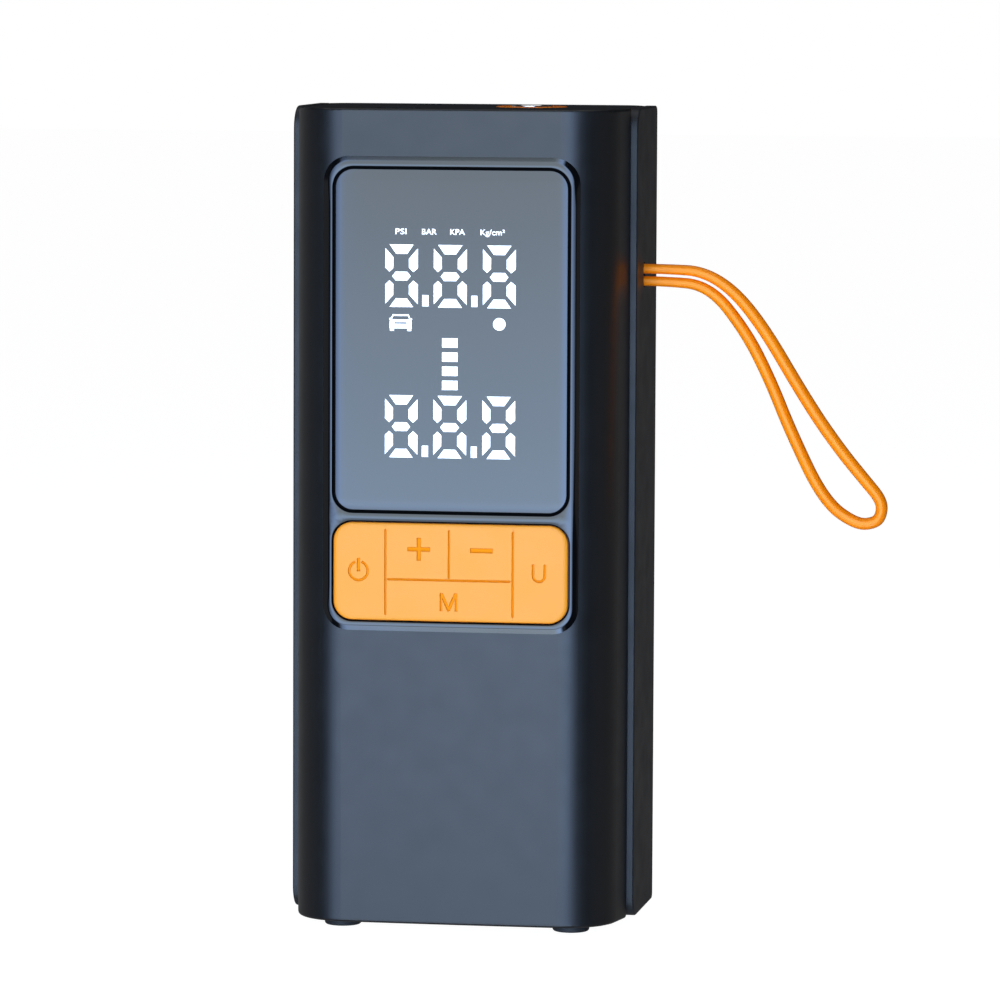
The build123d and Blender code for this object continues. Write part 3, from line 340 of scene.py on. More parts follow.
def offset_loop(pts, d):
    """A closed outline moved outwards by d (its points run counter-clockwise), with mitred corners."""
    out, n = [], len(pts)
    for i in range(n):
        (ax, az), (bx, bz), (cx, cz) = pts[i - 1], pts[i], pts[(i + 1) % n]
        u = Vector((bx - ax, bz - az)).normalized()
        v = Vector((cx - bx, cz - bz)).normalized()
        n1, n2 = Vector((u.y, -u.x)), Vector((v.y, -v.x))
        m = n1 + n2
        if m.length < 1e-6:
            m = n1
        m.normalize()
        k = d / max(m.dot(n1), 0.35)
        out.append((bx + m.x * k, bz + m.y * k))
    return out


def area_of(pts):
    return sum(pts[i - 1][0] * pts[i][1] - pts[i][0] * pts[i - 1][1] for i in range(len(pts))) / 2


def ccw(pts):
    return pts if area_of(pts) > 0 else pts[::-1]


def inside(x, z, pts):
    c, n = False, len(pts)
    j = n - 1
    for i in range(n):
        xi, zi = pts[i]
        xj, zj = pts[j]
        if (zi > z) != (zj > z) and x < (xj - xi) * (z - zi) / (zj - zi) + xi:
            c = not c
        j = i
    return c


def roll_in(d, r):
    """Depth below the top of an edge rounded to r, at distance d from the edge."""
    return 0.0 if d >= r else r - sqrt(max(r * r - (r - d) ** 2, 0.0))


def triangulate(points, edges):
    verts, _, faces, _, _, _ = delaunay_2d_cdt([Vector(p) for p in points], edges, [], 0, 1e-5)
    return [(v.x, v.y) for v in verts], [tuple(f) for f in faces]


def loops_to_input(loops, steiner=(), lines=()):
    points, edges = [], []
    for lp in loops:
        s = len(points)
        points += lp
        edges += [(s + i, s + (i + 1) % len(lp)) for i in range(len(lp))]
    for ln in lines:
        s = len(points)
        points += ln
        edges += [(s + i, s + i + 1) for i in range(len(ln) - 1)]
    points += list(steiner)
    return points, edges


def plate(name, verts2, tris, front, back, z0=2.0, mats=(), mat_of=None, sharp=38.0, keep_back=True):
    """Closed solid between two surfaces over one triangulation of an (x, z) region."""
    used = sorted({i for t in tris for i in t})
    index = {v: i for i, v in enumerate(used)}
    bm = bmesh.new()
    top, bot = [], []
    for i in used:
        x, z = verts2[i]
        top.append(bm.verts.new((x * MM, front(x, z) * MM, (z + z0) * MM)))
    for i in used:
        x, z = verts2[i]
        bot.append(bm.verts.new((x * MM, back(x, z) * MM, (z + z0) * MM)))
    count = {}
    for t in tris:
        a, b, c = t
        (ax, az), (bx, bz), (cx, cz) = verts2[a], verts2[b], verts2[c]
        if (bx - ax) * (cz - az) - (cx - ax) * (bz - az) < 0:
            b, c = c, b
        # counter-clockwise in (x, z) faces -Y
        f = bm.faces.new((top[index[a]], top[index[b]], top[index[c]]))
        f.smooth = True
        if mat_of:
            f.material_index = mat_of((verts2[a][0] + verts2[b][0] + verts2[c][0]) / 3,
                                      (verts2[a][1] + verts2[b][1] + verts2[c][1]) / 3)
        g = bm.faces.new((bot[index[a]], bot[index[c]], bot[index[b]]))
        g.smooth = True
        for e in ((a, b), (b, c), (c, a)):
            count[e] = count.get(e, 0) + 1
    for (a, b), k in list(count.items()):
        if (b, a) not in count:
            f = bm.faces.new((top[index[b]], top[index[a]], bot[index[a]], bot[index[b]]))
            f.smooth = True
    bm.normal_update()
    me = bpy.data.meshes.new(name)
    bm.to_mesh(me)
    bm.free()
    me.set_sharp_from_angle(angle=radians(sharp))
    for m in mats:
        me.materials.append(m)
    return link(bpy.data.objects.new(name, me))


def grid(x0, x1, z0, z1, sx, sz):
    nx, nz = max(1, round((x1 - x0) / sx)), max(1, round((z1 - z0) / sz))
    return [(x0 + (x1 - x0) * i / nx, z0 + (z1 - z0) * j / nz) for i in range(nx + 1) for j in range(nz + 1)]


BEZEL = (-28.18, 28.18, 64.42, 167.68, 5.68)
WINDOW = (-26.05, 26.3, 90.15, 165.5, 4.6)
LENS = (-25.43, 25.68, 90.75, 164.9, 4.0)
PAD = (-25.70, 26.02, 66.75, 88.1, 4.2)
PAD_WINDOW = (-26.10, 26.38, 66.4, 88.45, 4.55)


# ------------------------------------------------------------------ bezel
def make_bezel():
    """Frame whose outer border slopes down to the case and whose two windows have a small edge radius."""
    rise, r_in = 0.45, 0.16
    loops = [rounded_loop(BEZEL, d, 1.0, 14) for d in (0.0, 0.25, 0.48, 0.62, 0.70, 0.78, 0.87, 0.96, 1.04, 1.12, 1.20, 1.29, 1.38, 1.47, 1.58)]
    for win in (WINDOW, PAD_WINDOW):
        loops += [rounded_loop(win, -r_in * k, 1.0, 12) for k in (0.0, 0.12, 0.4, 1.0)]
    points, edges = loops_to_input(loops)
    v, f = triangulate(points, edges)

    def keep(t):
        x = sum(v[i][0] for i in t) / 3
        z = sum(v[i][1] for i in t) / 3
        return rounded_sd(x, z, BEZEL) < 0 and rounded_sd(x, z, WINDOW) > 0 and rounded_sd(x, z, PAD_WINDOW) > 0

    tris = [t for t in f if len(t) == 3 and keep(t)]

    def slope(x, z):
        side = max(0.0, min(1.0, (abs(x) - 21.0) / 5.0)) * max(0.0, min(1.0, (162.0 - z) / 5.0, (z - 69.0) / 5.0))
        return 1.10 + side * (0.36 if x < 0 else -0.38 * max(0.0, min(1.0, (z - 84.0) / 24.0)))

    def depth(x, z):
        t = 1.0 + rounded_sd(x, z, BEZEL) / slope(x, z)
        d = rise * (t + sqrt(t * t + 0.004)) / 2
        return d + max(roll_in(rounded_sd(x, z, WINDOW), r_in), roll_in(rounded_sd(x, z, PAD_WINDOW), r_in))

    ob = plate("bezel_frame", v, tris, lambda x, z: front_y(x, 0.45) + depth(x, z), lambda x, z: front_y(x, -1.15),
               mats=[M["bezel"]], sharp=50.0)
    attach(ob, "housing")
    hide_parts("display_bezel")
    return ob


def make_gaskets():
    """Painted shade: near-black sheets at the bottom of the gaps round the display window and the keys, standing in for
    the shade deep in those gaps.
    """
    for name, inner, outer, top, low in (("gasket_display", LENS, WINDOW, -0.35, -1.2),
                                         ("gasket_keys", PAD, PAD_WINDOW, -1.12, -1.22)):
        points, edges = loops_to_input([rounded_loop(outer, 0.03, 1.2, 10), rounded_loop(inner, -0.03, 1.2, 10)])
        v, f = triangulate(points, edges)
        tris = []
        for t in f:
            x, z = sum(v[i][0] for i in t) / 3, sum(v[i][1] for i in t) / 3
            if len(t) == 3 and rounded_sd(x, z, outer) < -0.03 and rounded_sd(x, z, inner) > 0.03:
                tris.append(t)
        ob = plate(name, v, tris, lambda x, z: front_y(x, top), lambda x, z: front_y(x, low), mats=[M["gasket"]])
        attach(ob, "housing")


# ------------------------------------------------------------------ display window
def make_lens():
    r = 0.14
    loops = [rounded_loop(LENS, r * k, 1.0, 12) for k in (0.0, 0.06, 0.2, 0.42, 0.7, 1.0)]
    inner = [p for p in grid(-25.0, 25.0, 91.4, 164.3, 1.0, 1.8) if rounded_sd(*p, LENS) < -0.7]
    points, edges = loops_to_input(loops, inner)
    v, f = triangulate(points, edges)
    tris = [t for t in f if len(t) == 3
            and rounded_sd(sum(v[i][0] for i in t) / 3, sum(v[i][1] for i in t) / 3, LENS) < 0]
    ob = plate("display_glass", v, tris,
               lambda x, z: front_y(x, 0.14) + roll_in(-rounded_sd(x, z, LENS), r), lambda x, z: front_y(x, -1.1),
               mats=[M["lens"]], sharp=50.0)
    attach(ob, "housing")
    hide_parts("display_lens")
    return ob


# ------------------------------------------------------------------ display graphics
def digit(x0, z1, w, h):
    """Seven bevelled segments of one digit; x0 is its left side and z1 its top."""
    s = []
    s.append([(0.84, 0), (w - 0.88, 0), (w - 2.42, -2.2), (2.42, -2.2)])
    s.append([(0, -0.67), (1.92, -2.79), (1.92, -5.25), (0.98, -6.12), (0, -5.15)])
    s.append([(w, -0.67), (w, -5.25), (w - 1.08, -6.15), (w - 2.15, -5.15), (w - 2.15, -3.1)])
    m = h / 2 + 0.07
    s.append([(1.49, -m), (2.3, -m + 1.04), (w - 2.4, -m + 1.04), (w - 1.57, -m), (w - 2.4, -m - 1.04), (2.3, -m - 1.04)])
    s.append([(0.98, -h + 5.96), (1.92, -h + 5.1), (1.92, -h + 2.65), (0, -h + 0.55), (0, -h + 5.05)])
    s.append([(w - 1.08, -h + 5.96), (w, -h + 5.05), (w, -h + 0.5), (w - 2.15, -h + 2.8), (w - 2.15, -h + 4.9)])
    s.append([(0.84, -h), (2.35, -h + 2.05), (w - 2.42, -h + 2.05), (w - 0.95, -h)])
    return [offset_loop(ccw([(x0 + x, z1 + z) for x, z in p]), -0.085) for p in s]


def sliver_solid(bm, pts, proud=0.165, deep=-0.05):
    """A thin closed prism that follows the window's surface."""
    pts = ccw(pts)
    dense = []
    for i, (x, z) in enumerate(pts):
        nx, nz = pts[(i + 1) % len(pts)]
        n = max(1, ceil(abs(nx - x) / 1.2))
        dense += [(x + (nx - x) * k / n, z + (nz - z) * k / n) for k in range(n)]
    v, f = triangulate(*loops_to_input([dense]))
    tris = [t for t in f if inside(sum(v[i][0] for i in t) / 3, sum(v[i][1] for i in t) / 3, dense)]
    used = sorted({i for t in tris for i in t})
    top = {i: bm.verts.new((v[i][0] * MM, front_y(v[i][0], proud) * MM, (v[i][1] + 2.0) * MM)) for i in used}
    bot = {i: bm.verts.new((v[i][0] * MM, front_y(v[i][0], deep) * MM, (v[i][1] + 2.0) * MM)) for i in used}
    seen = set()
    for a, b, c in tris:
        if (v[b][0] - v[a][0]) * (v[c][1] - v[a][1]) - (v[c][0] - v[a][0]) * (v[b][1] - v[a][1]) < 0:
            b, c = c, b
        bm.faces.new((top[a], top[b], top[c]))
        bm.faces.new((bot[a], bot[c], bot[b]))
        seen |= {(a, b), (b, c), (c, a)}
    for a, b in seen:
        if (b, a) not in seen:
            bm.faces.new((top[b], top[a], bot[a], bot[b]))


def circle_pts(cx, cz, r, n=40):
    return [(cx + r * cos(2 * pi * k / n), cz + r * sin(2 * pi * k / n)) for k in range(n)]


def make_graphics():
    dx = 0.08
    groups = {"digits_upper": [], "digits_lower": [], "level_bar": [], "symbol_dot": [], "symbol_car": []}
    for row, z1 in (("digits_upper", 148.73), ("digits_lower", 116.02)):
        for x0, w in ((-14.48, 7.34), (-3.8, 7.42), (6.99, 7.34)):
            groups[row] += digit(x0 + dx, z1, w, 13.72)
        for x0, x1 in ((-6.36, -4.78), (4.44, 5.95)):
            a, b, c, d = x0 + dx + 0.12, x1 + dx - 0.08, z1 - 13.42, z1 - 10.98
            groups[row].append([(a, c), (b, c), (b, d), (a, d)])
    for k in range(4):
        t = 128.46 - 3.07 * k
        groups["level_bar"].append([(-1.84 + dx, t - 2.02), (1.57 + dx, t - 2.02), (1.57 + dx, t), (-1.84 + dx, t)])
    groups["symbol_dot"].append(circle_pts(10.70 + dx, 131.64, 1.37))
    # a generic car seen from the front, in pieces round its dark windscreen and grille
    c = -11.0 + dx
    z = 131.7
    car = [
        [(c - 1.75, z + 1.80), (c + 1.75, z + 1.80), (c + 1.60, z + 1.45), (c - 1.60, z + 1.45)],
        [(c - 1.75, z + 1.80), (c - 1.60, z + 1.45), (c - 1.95, z + 0.72), (c - 2.25, z + 0.72)],
        [(c + 1.75, z + 1.80), (c + 2.25, z + 0.72), (c + 1.95, z + 0.72), (c + 1.60, z + 1.45)],
        [(c - 2.55, z + 0.95), (c - 2.2, z + 1.02), (c - 2.1, z + 0.62), (c - 2.5, z + 0.58)],
        [(c + 2.55, z + 0.95), (c + 2.5, z + 0.58), (c + 2.1, z + 0.62), (c + 2.2, z + 1.02)],
        [(c - 2.3, z + 0.70), (c + 2.3, z + 0.70), (c + 2.42, z + 0.1), (c - 2.42, z + 0.1)],
        [(c - 2.42, z + 0.1), (c - 1.35, z + 0.1), (c - 1.35, z - 0.25), (c - 2.42, z - 0.25)],
        [(c + 1.35, z + 0.1), (c + 2.42, z + 0.1), (c + 2.42, z - 0.25), (c + 1.35, z - 0.25)],
        [(c - 2.42, z - 0.25), (c + 2.42, z - 0.25), (c + 2.42, z - 1.25), (c - 2.42, z - 1.25)],
        [(c - 2.35, z - 1.25), (c - 1.45, z - 1.25), (c - 1.45, z - 1.8), (c - 2.35, z - 1.8)],
        [(c + 1.45, z - 1.25), (c + 2.35, z - 1.25), (c + 2.35, z - 1.8), (c + 1.45, z - 1.8)],
    ]
    groups["symbol_car"] += car
    for name, polys in groups.items():
        bm = bmesh.new()
        for p in polys:
            sliver_solid(bm, p)
        me = bpy.data.meshes.new(name)
        bm.to_mesh(me)
        bm.free()
        me.materials.append(M["segment"])
        ob = link(bpy.data.objects.new(name, me))
        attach(ob, "housing")
    # unit labels, generic lettering
    for name, text, x0, x1, zb, size in (
            ("unit_psi", "PSI", -12.22, -9.74, 150.90, 2.35), ("unit_bar", "BAR", -6.37, -3.09, 150.90, 2.35),
            ("unit_kpa", "KPA", -0.16, 3.1, 150.90, 2.35), ("unit_kg", "Kg/cm²", 6.47, 11.85, 150.90, 2.35)):
        cu = bpy.data.curves.new(name, "FONT")
        cu.body = text
        cu.size = size
        cu.offset = 0.045
        cu.resolution_u = 4
        cu.fill_mode = "FRONT"
        tmp = link(bpy.data.objects.new(name + "_t", cu))
        bpy.context.view_layer.update()
        dg = bpy.context.evaluated_depsgraph_get()
        me = bpy.data.meshes.new_from_object(tmp.evaluated_get(dg))
        bpy.data.objects.remove(tmp)
        xs = [p.co.x for p in me.vertices]
        lo, wd = min(xs), max(xs) - min(xs)
        k = (x1 - x0) / wd
        bm = bmesh.new()
        bm.from_mesh(me)
        ret = bmesh.ops.extrude_face_region(bm, geom=list(bm.faces))
        moved = {g for g in ret["geom"] if isinstance(g, bmesh.types.BMVert)}
        for p in bm.verts:
            x = x0 + dx + (p.co.x - lo) * k
            zz = zb + p.co.y * 0.74
            p.co = Vector((x * MM, front_y(x, -0.05 if p in moved else 0.165) * MM, (zz + 2.0) * MM))
        bmesh.ops.recalc_face_normals(bm, faces=bm.faces)
        bm.to_mesh(me)
        bm.free()
        me.name = name
        me.materials.clear()
        me.materials.append(M["segment"])
        ob = link(bpy.data.objects.new(name, me))
        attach(ob, "housing")


# ------------------------------------------------------------------ keys
def arc_pts(cx, cz, r, a0, a1, n):
    return [(cx + r * cos(radians(a0 + (a1 - a0) * k / n)), cz + r * sin(radians(a0 + (a1 - a0) * k / n)))
            for k in range(n + 1)]


def slot_pts(ax, az, bx, bz, half):
    """Outline of a groove between two points with round ends."""
    a = degrees(atan2(bz - az, bx - ax))
    return arc_pts(bx, bz, half, a - 90, a + 90, 6) + arc_pts(ax, az, half, a + 90, a + 270, 6)


def key_marks():
    marks = []
    h = 0.19
    g = 14.05
    marks.append(slot_pts(-g, 68.2, -g, 86.5, h))
    marks.append(slot_pts(g, 68.2, g, 86.5, h))
    marks.append(slot_pts(0.0, 76.42, 0.0, 86.5, h))
    marks.append(slot_pts(-13.35, 75.8, 13.35, 75.8, h))
    # power
    cx, cz = -20.03, 77.52
    marks.append(arc_pts(cx, cz, 2.27, 112, 428, 46) + arc_pts(cx, cz, 1.83, 428, 112, 46))
    marks.append([(cx - 0.30, cz - 0.05), (cx + 0.30, cz - 0.05), (cx + 0.30, cz + 2.70), (cx - 0.30, cz + 2.70)])
    # plus, minus
    cx, cz, a, b = -6.66, 82.46, 2.43, 0.41
    marks.append([(cx - a, cz - b), (cx - b, cz - b), (cx - b, cz - a), (cx + b, cz - a), (cx + b, cz - b), (cx + a, cz - b),
                  (cx + a, cz + b), (cx + b, cz + b), (cx + b, cz + a), (cx - b, cz + a), (cx - b, cz + b), (cx - a, cz + b)])
    cx, cz = 7.15, 82.42
    marks.append([(cx - 2.45, cz - 0.46), (cx + 2.45, cz - 0.46), (cx + 2.45, cz + 0.46), (cx - 2.45, cz + 0.46)])
    # M
    x0, x1, z0, z1, s = -1.92, 1.80, 69.12, 72.95, 0.43
    xm = (x0 + x1) / 2
    marks.append([(x0, z0), (x0 + s, z0), (x0 + s, z1 - 1.15), (xm - 0.24, z0), (xm + 0.24, z0), (x1 - s, z1 - 1.15),
                  (x1 - s, z0), (x1, z0), (x1, z1), (x1 - s - 0.12, z1), (xm, z0 + 0.95), (x0 + s + 0.12, z1), (x0, z1)])
    # U
    x0, x1, zt, r, s = 18.28, 21.28, 79.62, 1.5, 0.42
    cx, cz = (x0 + x1) / 2, 75.72 + r
    marks.append(arc_pts(cx, cz, r, 180, 360, 16) + [(x1, zt), (x1 - s, zt)] + arc_pts(cx, cz, r - s, 360, 180, 14)
                 + [(x0 + s, zt), (x0, zt)])
    return [ccw(m) for m in marks]


def resample(pts, step):
    out = []
    for i, (x, z) in enumerate(pts):
        nx, nz = pts[(i + 1) % len(pts)]
        n = max(1, ceil(hypot(nx - x, nz - z) / step))
        out += [(x + (nx - x) * k / n, z + (nz - z) * k / n) for k in range(n)]
    return out


CUT = 0.34


def make_keys():
    r = 1.05
    marks = key_marks()
    outer = [resample(offset_loop(m, 0.075), 0.8) for m in marks]
    mid = [resample(offset_loop(m, 0.02), 0.8) for m in marks]
    inner = [resample(offset_loop(m, -0.045), 0.8) for m in marks]
    loops = [rounded_loop(PAD, r * k, 0.8, 12) for k in (0.0, 0.04, 0.13, 0.28, 0.48, 0.72, 1.0)]
    loops += outer + mid + inner
    e = 0.01
    lines = []
    for s in (-1, 1):
        for d in (-e, e):
            x = s * 14.05 + d
            lines.append([(x, 66.0 + 23.0 * k / 20) for k in range(21)])
    for d in (-e, e):
        lines.append([(d, 75.8 + e), (d, 89.0)])
        lines.append([(-14.05 + e, 75.8 + d), (14.05 - e, 75.8 + d)])
    steiner = []
    for p in grid(-25.2, 25.2, 67.45, 87.4, 0.8, 1.1):
        if rounded_sd(*p, PAD) > -0.8:
            continue
        near = False
        for lp in outer:
            xs = [q[0] for q in lp]
            zs = [q[1] for q in lp]
            if min(xs) - 0.15 < p[0] < max(xs) + 0.15 and min(zs) - 0.15 < p[1] < max(zs) + 0.15:
                near = True
        if not near:
            steiner.append(p)
    v, f = triangulate(*loops_to_input(loops, steiner, lines))

    def level(x, z):
        for m, o, i in zip(mid, outer, inner):
            xs0, xs1 = min(q[0] for q in o), max(q[0] for q in o)
            zs0, zs1 = min(q[1] for q in o), max(q[1] for q in o)
            if xs0 - 0.01 < x < xs1 + 0.01 and zs0 - 0.01 < z < zs1 + 0.01:
                d_in = near_loop(x, z, i)
                if d_in < 2e-3 or inside(x, z, i):
                    return CUT
                d_mid = near_loop(x, z, m)
                if d_mid < 2e-3:
                    return CUT * 0.22
        return 0.0

    def near_loop(x, z, lp):
        best = 1e9
        for k in range(len(lp)):
            ax, az = lp[k - 1]
            bx, bz = lp[k]
            ux, uz = bx - ax, bz - az
            ll = ux * ux + uz * uz
            t = 0.0 if ll == 0 else max(0.0, min(1.0, ((x - ax) * ux + (z - az) * uz) / ll))
            best = min(best, hypot(x - ax - ux * t, z - az - uz * t))
        return best

    cache = {}

    def front(x, z):
        key = (round(x, 5), round(z, 5))
        if key not in cache:
            cache[key] = front_y(x, 0.7) + 0.5 * roll_in(-rounded_sd(x, z, PAD), r) + level(x, z)
        return cache[key]

    def cut_face(x, z):
        for m in mid:
            xs0, xs1 = min(q[0] for q in m), max(q[0] for q in m)
            zs0, zs1 = min(q[1] for q in m), max(q[1] for q in m)
            if xs0 < x < xs1 and zs0 < z < zs1 and inside(x, z, m):
                return 1
        return 0

    boxes = {
        "power": (-40, -14.05 - e, 0, 200), "unit": (14.05 + e, 40, 0, 200),
        "plus": (-14.05 + e, -e, 75.8 + e, 200), "minus": (e, 14.05 - e, 75.8 + e, 200),
        "mode": (-14.05 + e, 14.05 - e, 0, 75.8 - e),
    }
    for k, (x0, x1, z0, z1) in boxes.items():
        tris = []
        for t in f:
            x = sum(v[i][0] for i in t) / 3
            z = sum(v[i][1] for i in t) / 3
            if len(t) == 3 and x0 < x < x1 and z0 < z < z1 and rounded_sd(x, z, PAD) < 0:
                tris.append(t)
        ob = plate(f"keycap_{k}", v, tris, front, lambda x, z: front_y(x, -0.5), mats=[M["key"], M["key_cut"]],
                   mat_of=cut_face, sharp=42.0)
        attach(ob, f"key_{k}")
        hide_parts(f"key_{k}")


make_bezel()
make_gaskets()
make_lens()
make_graphics()
make_keys()


# ------------------------------------------------------------------ turned pieces
def lathe(name, profile, cx, cy, mat, steps=96, sharp=35.0):
    """Closed solid of revolution about the vertical axis at (cx, cy); profile is (r, z), mm."""
    bm = bmesh.new()
    rings = [[bm.verts.new(((cx + r * cos(2 * pi * k / steps)) * MM, (cy + r * sin(2 * pi * k / steps)) * MM, z * MM))
              for k in range(steps)] for r, z in profile]
    n = len(rings)
    for i in range(n):
        a, b = rings[i], rings[(i + 1) % n]
        for k in range(steps):
            f = bm.faces.new((a[k], a[(k + 1) % steps], b[(k + 1) % steps], b[k]))
            f.smooth = True
    bmesh.ops.recalc_face_normals(bm, faces=bm.faces)
    me = bpy.data.meshes.new(name)
    bm.to_mesh(me)
    bm.free()
    me.set_sharp_from_angle(angle=radians(sharp))
    me.materials.append(mat)
    return link(bpy.data.objects.new(name, me))


XN, YN, Z1 = 13.0, 4.17, 180.0


def make_outlet():
    prof = [(4.62, Z1 - 1.75), (7.85, Z1 - 1.75), (7.85, Z1 - 0.16)]
    prof += [(7.62 + 0.23 * cos(radians(a)), Z1 - 0.13 + 0.23 * sin(radians(a))) for a in (10, 30, 50, 70, 90)]
    prof += [(5.75, Z1 + 0.1), (5.55, Z1 + 0.06), (5.40, Z1 - 0.06), (4.75, Z1 - 0.46), (4.62, Z1 - 0.62)]
    ring = lathe("outlet_collar", prof, XN, YN, M["ring"])
    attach(ring, "housing")
    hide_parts("outlet_ring")
    # nozzle with the crests of its internal thread at the bore's radius
    prof = [(1.0, 163.5), (1.5, 163.5), (1.9, 164.6), (1.9, 170.0), (4.3, 170.0), (4.5, 170.2), (4.5, Z1 + 0.10),
            (4.44, Z1 + 0.22), (4.3, Z1 + 0.28), (4.1, Z1 + 0.28), (3.98, Z1 + 0.18)]
    z = Z1 - 0.25
    while z > 172.2:
        prof += [(3.62, z), (3.60, z - 0.12), (3.62, z - 0.24), (3.98, z - 0.50), (3.98, z - 0.74)]
        z -= 1.0
    prof += [(3.62, 171.6), (3.6, 171.2), (1.0, 171.2)]
    noz = lathe("outlet_socket", prof, XN, YN, M["nozzle"])
    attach(noz, "housing")
    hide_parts("outlet_nozzle")


make_outlet()


# ------------------------------------------------------------------ stage and light
def emission(name, build):
    mat = bpy.data.materials.new(name)
    mat.use_nodes = True
    nt = mat.node_tree
    for n in list(nt.nodes):
        nt.nodes.remove(n)
    out = nt.nodes.new("ShaderNodeOutputMaterial")
    build(nt, out)
    return mat


def quad(name, corners, mat):
    me = bpy.data.meshes.new(name)
    me.from_pydata([Vector(c) for c in corners], [], [(0, 1, 2, 3)])
    me.materials.append(mat)
    ob = link(bpy.data.objects.new(name, me))
    return ob


def hide_from(ob, **flags):
    for k, val in flags.items():
        setattr(ob, "visible_" + k, val)


def floor_build(nt, out):
    d = nt.nodes.new("ShaderNodeBsdfDiffuse")
    d.inputs["Color"].default_value = (0.16, 0.16, 0.163, 1)
    e = nt.nodes.new("ShaderNodeEmission")
    e.inputs["Color"].default_value = (1.0, 1.0, 1.0, 1)
    e.inputs["Strength"].default_value = 0.985
    a = nt.nodes.new("ShaderNodeAddShader")
    nt.links.new(d.outputs[0], a.inputs[0])
    nt.links.new(e.outputs[0], a.inputs[1])
    nt.links.new(a.outputs[0], out.inputs["Surface"])


floor = quad("floor", [(-6, -6, 0), (6, -6, 0), (6, 6, 0), (-6, 6, 0)], emission("floor_pale", floor_build))
hide_from(floor, diffuse=False, glossy=False, transmission=False, shadow=False)


def dome_build(nt, out):
    e = nt.nodes.new("ShaderNodeEmission")
    e.inputs["Color"].default_value = (1.0, 1.0, 1.0, 1)
    nt.links.new(e.outputs[0], out.inputs["Surface"])


def make_dome():
    bm = bmesh.new()
    bmesh.ops.create_uvsphere(bm, u_segments=64, v_segments=32, radius=8.8)
    me = bpy.data.meshes.new("backdrop")
    bm.to_mesh(me)
    bm.free()
    me.materials.append(emission("backdrop_white", dome_build))
    ob = link(bpy.data.objects.new("backdrop", me))
    hide_from(ob, diffuse=False, glossy=False, transmission=False, shadow=False)


make_dome()


def math_node(nt, op, a, b=None):
    m = nt.nodes.new("ShaderNodeMath")
    m.operation = op
    for k, x in enumerate((a, b)):
        if x is None:
            continue
        if isinstance(x, (int, float)):
            m.inputs[k].default_value = x
        else:
            nt.links.new(x, m.inputs[k])
    return m.outputs[0]


def span(nt, value, lo, hi):
    r = nt.nodes.new("ShaderNodeMapRange")
    r.inputs["From Min"].default_value, r.inputs["From Max"].default_value = lo, hi
    nt.links.new(value, r.inputs["Value"])
    return r.outputs["Result"]


BOX_X, BOX_Z, BOX_Y = (-0.56, 0.36), (-0.80, 0.75), -0.66


def softbox_build(nt, out):
    """Large cloth panel in front: neutral in its middle, cooler towards its sides and its lower half."""
    e = nt.nodes.new("ShaderNodeEmission")
    sep = nt.nodes.new("ShaderNodeSeparateXYZ")
    nt.links.new(nt.nodes.new("ShaderNodeTexCoord").outputs["Object"], sep.inputs[0])
    x, z = sep.outputs["X"], sep.outputs["Z"]
    height = span(nt, z, *BOX_Z)

    def at(v):
        return (v - BOX_Z[0]) / (BOX_Z[1] - BOX_Z[0])

    middle = ramp(nt, height, [(at(-0.16), (0.70, 0.86, 1.04)), (at(-0.04), (0.70, 0.95, 1.38)), (at(0.03), (0.70, 0.94, 1.26)),
                               (at(0.15), (0.70, 0.82, 0.94)), (at(0.5), (0.70, 0.84, 0.98))])
    off = math_node(nt, "ABSOLUTE", math_node(nt, "ADD", x, 0.085))
    mix = nt.nodes.new("ShaderNodeMix")
    mix.data_type = "RGBA"
    nt.links.new(span(nt, off, 0.08, 0.21), mix.inputs[0])
    nt.links.new(middle, mix.inputs[6])
    mix.inputs[7].default_value = (0.66, 0.96, 1.56, 1.0)
    strength = ramp(nt, height, [(at(v), (k, k, k)) for v, k in (
        (-0.80, 0.95), (-0.55, 1.22), (-0.34, 0.44), (-0.14, 0.44), (-0.02, 1.10), (0.03, 1.04), (0.15, 0.78), (0.75, 0.80))])
    across = ramp(nt, span(nt, x, *BOX_X), [((v + 0.56) / 0.92, (k, k, k)) for v, k in (
        (-0.56, 0.14), (-0.425, 0.50), (-0.26, 0.92), (-0.085, 0.92), (0.10, 1.0), (0.22, 1.0), (0.36, 0.0))])
    k = math_node(nt, "MULTIPLY", math_node(nt, "MULTIPLY", strength, across), 5.0)
    nt.links.new(mix.outputs[2], e.inputs["Color"])
    nt.links.new(k, e.inputs["Strength"])
    nt.links.new(e.outputs[0], out.inputs["Surface"])


softbox = quad("softbox_front", [(BOX_X[0], BOX_Y, BOX_Z[0]), (BOX_X[1], BOX_Y, BOX_Z[0]),
                                 (BOX_X[1], BOX_Y, BOX_Z[1]), (BOX_X[0], BOX_Y, BOX_Z[1])],
               emission("softbox_cloth", softbox_build))
hide_from(softbox, camera=False)


def area(name, place, target, size, power, colour=(1, 1, 1)):
    data = bpy.data.lights.new(name, "AREA")
    data.shape = "RECTANGLE"
    data.size, data.size_y = size
    data.energy = power
    data.color = colour
    ob = link(bpy.data.objects.new(name, data))
    ob.location = place
    ob.rotation_mode = "QUATERNION"
    ob.rotation_quaternion = (Vector(target) - Vector(place)).to_track_quat("-Z", "Y")
    ob.visible_camera = False
    return ob


def card_build(nt, out):
    d = nt.nodes.new("ShaderNodeBsdfDiffuse")
    d.inputs["Color"].default_value = (0.012, 0.012, 0.012, 1)
    nt.links.new(d.outputs[0], out.inputs["Surface"])


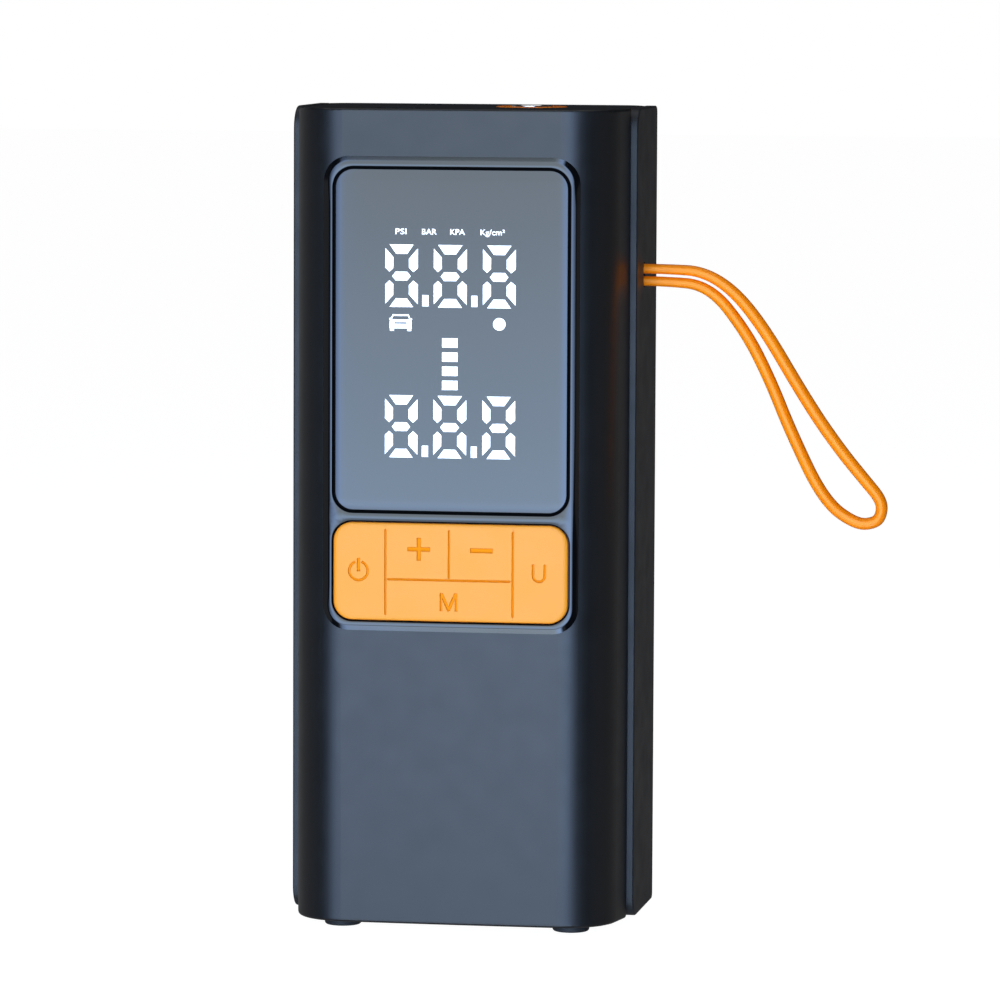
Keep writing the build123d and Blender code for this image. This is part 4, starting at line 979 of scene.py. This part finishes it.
card_black = emission("card_black", card_build)
for side, near, far in (("left", 41.5, 68.0), ("right", 38.0, 66.0)):
    sx = -1.0 if side == "left" else 1.0
    ends = [(sx * 0.78 * sin(radians(a)), -0.78 * cos(radians(a))) for a in (near, far)]
    card = quad("flag_" + side, [(*ends[0], -0.6), (*ends[1], -0.6), (*ends[1], 0.6), (*ends[0], 0.6)], card_black)
    hide_from(card, camera=False, diffuse=False, transmission=False, shadow=False)



def glow_build(nt, out):
    e = nt.nodes.new("ShaderNodeEmission")
    e.inputs["Color"].default_value = (1.0, 1.0, 1.0, 1)
    e.inputs["Strength"].default_value = 0.22
    nt.links.new(e.outputs[0], out.inputs["Surface"])


ends = [(-0.85 * sin(radians(a)), -0.85 * cos(radians(a))) for a in (100.0, 150.0)]
glow = quad("side_card", [(*ends[0], -0.6), (*ends[1], -0.6), (*ends[1], 0.6), (*ends[0], 0.6)],
            emission("side_card_cloth", glow_build))
hide_from(glow, camera=False, diffuse=False, transmission=False, shadow=False)

area("top_light", (0.0, 0.10, 1.05), (0.0, 0.0, 0.1), (0.9, 0.7), 1.7)
fill = area("fill_light", (-0.17, -0.72, -0.50), (0.03, 0.0, 0.11), (0.4, 0.4), 2.9, (1.0, 0.97, 0.93))
hide_from(fill, glossy=False)
rim = area("rim_light", (0.80, 0.30, 0.70), (0.06, 0.0, 0.12), (0.6, 0.6), 1.1, (1.0, 0.90, 0.80))
hide_from(rim, glossy=False)

world = bpy.data.worlds.new("studio")
scene.world = world
world.use_nodes = True
wt = world.node_tree
bg = wt.nodes["Background"]
wsep = wt.nodes.new("ShaderNodeSeparateXYZ")
wt.links.new(wt.nodes.new("ShaderNodeTexCoord").outputs["Generated"], wsep.inputs[0])
wt.links.new(ramp(wt, span(wt, wsep.outputs["Z"], -0.3, 0.3),
                  [(0.0, (0.185, 0.185, 0.185)), (0.45, (0.185, 0.185, 0.185)), (0.56, (0.025, 0.025, 0.026)),
                   (1.0, (0.030, 0.030, 0.031))]), bg.inputs["Color"])
bg.inputs["Strength"].default_value = 1.0

scene.view_settings.view_transform = "Standard"
scene.view_settings.look = "None"
scene.view_settings.exposure = 0.0
scene.view_settings.gamma = 1.0

bpy.context.view_layer.update()
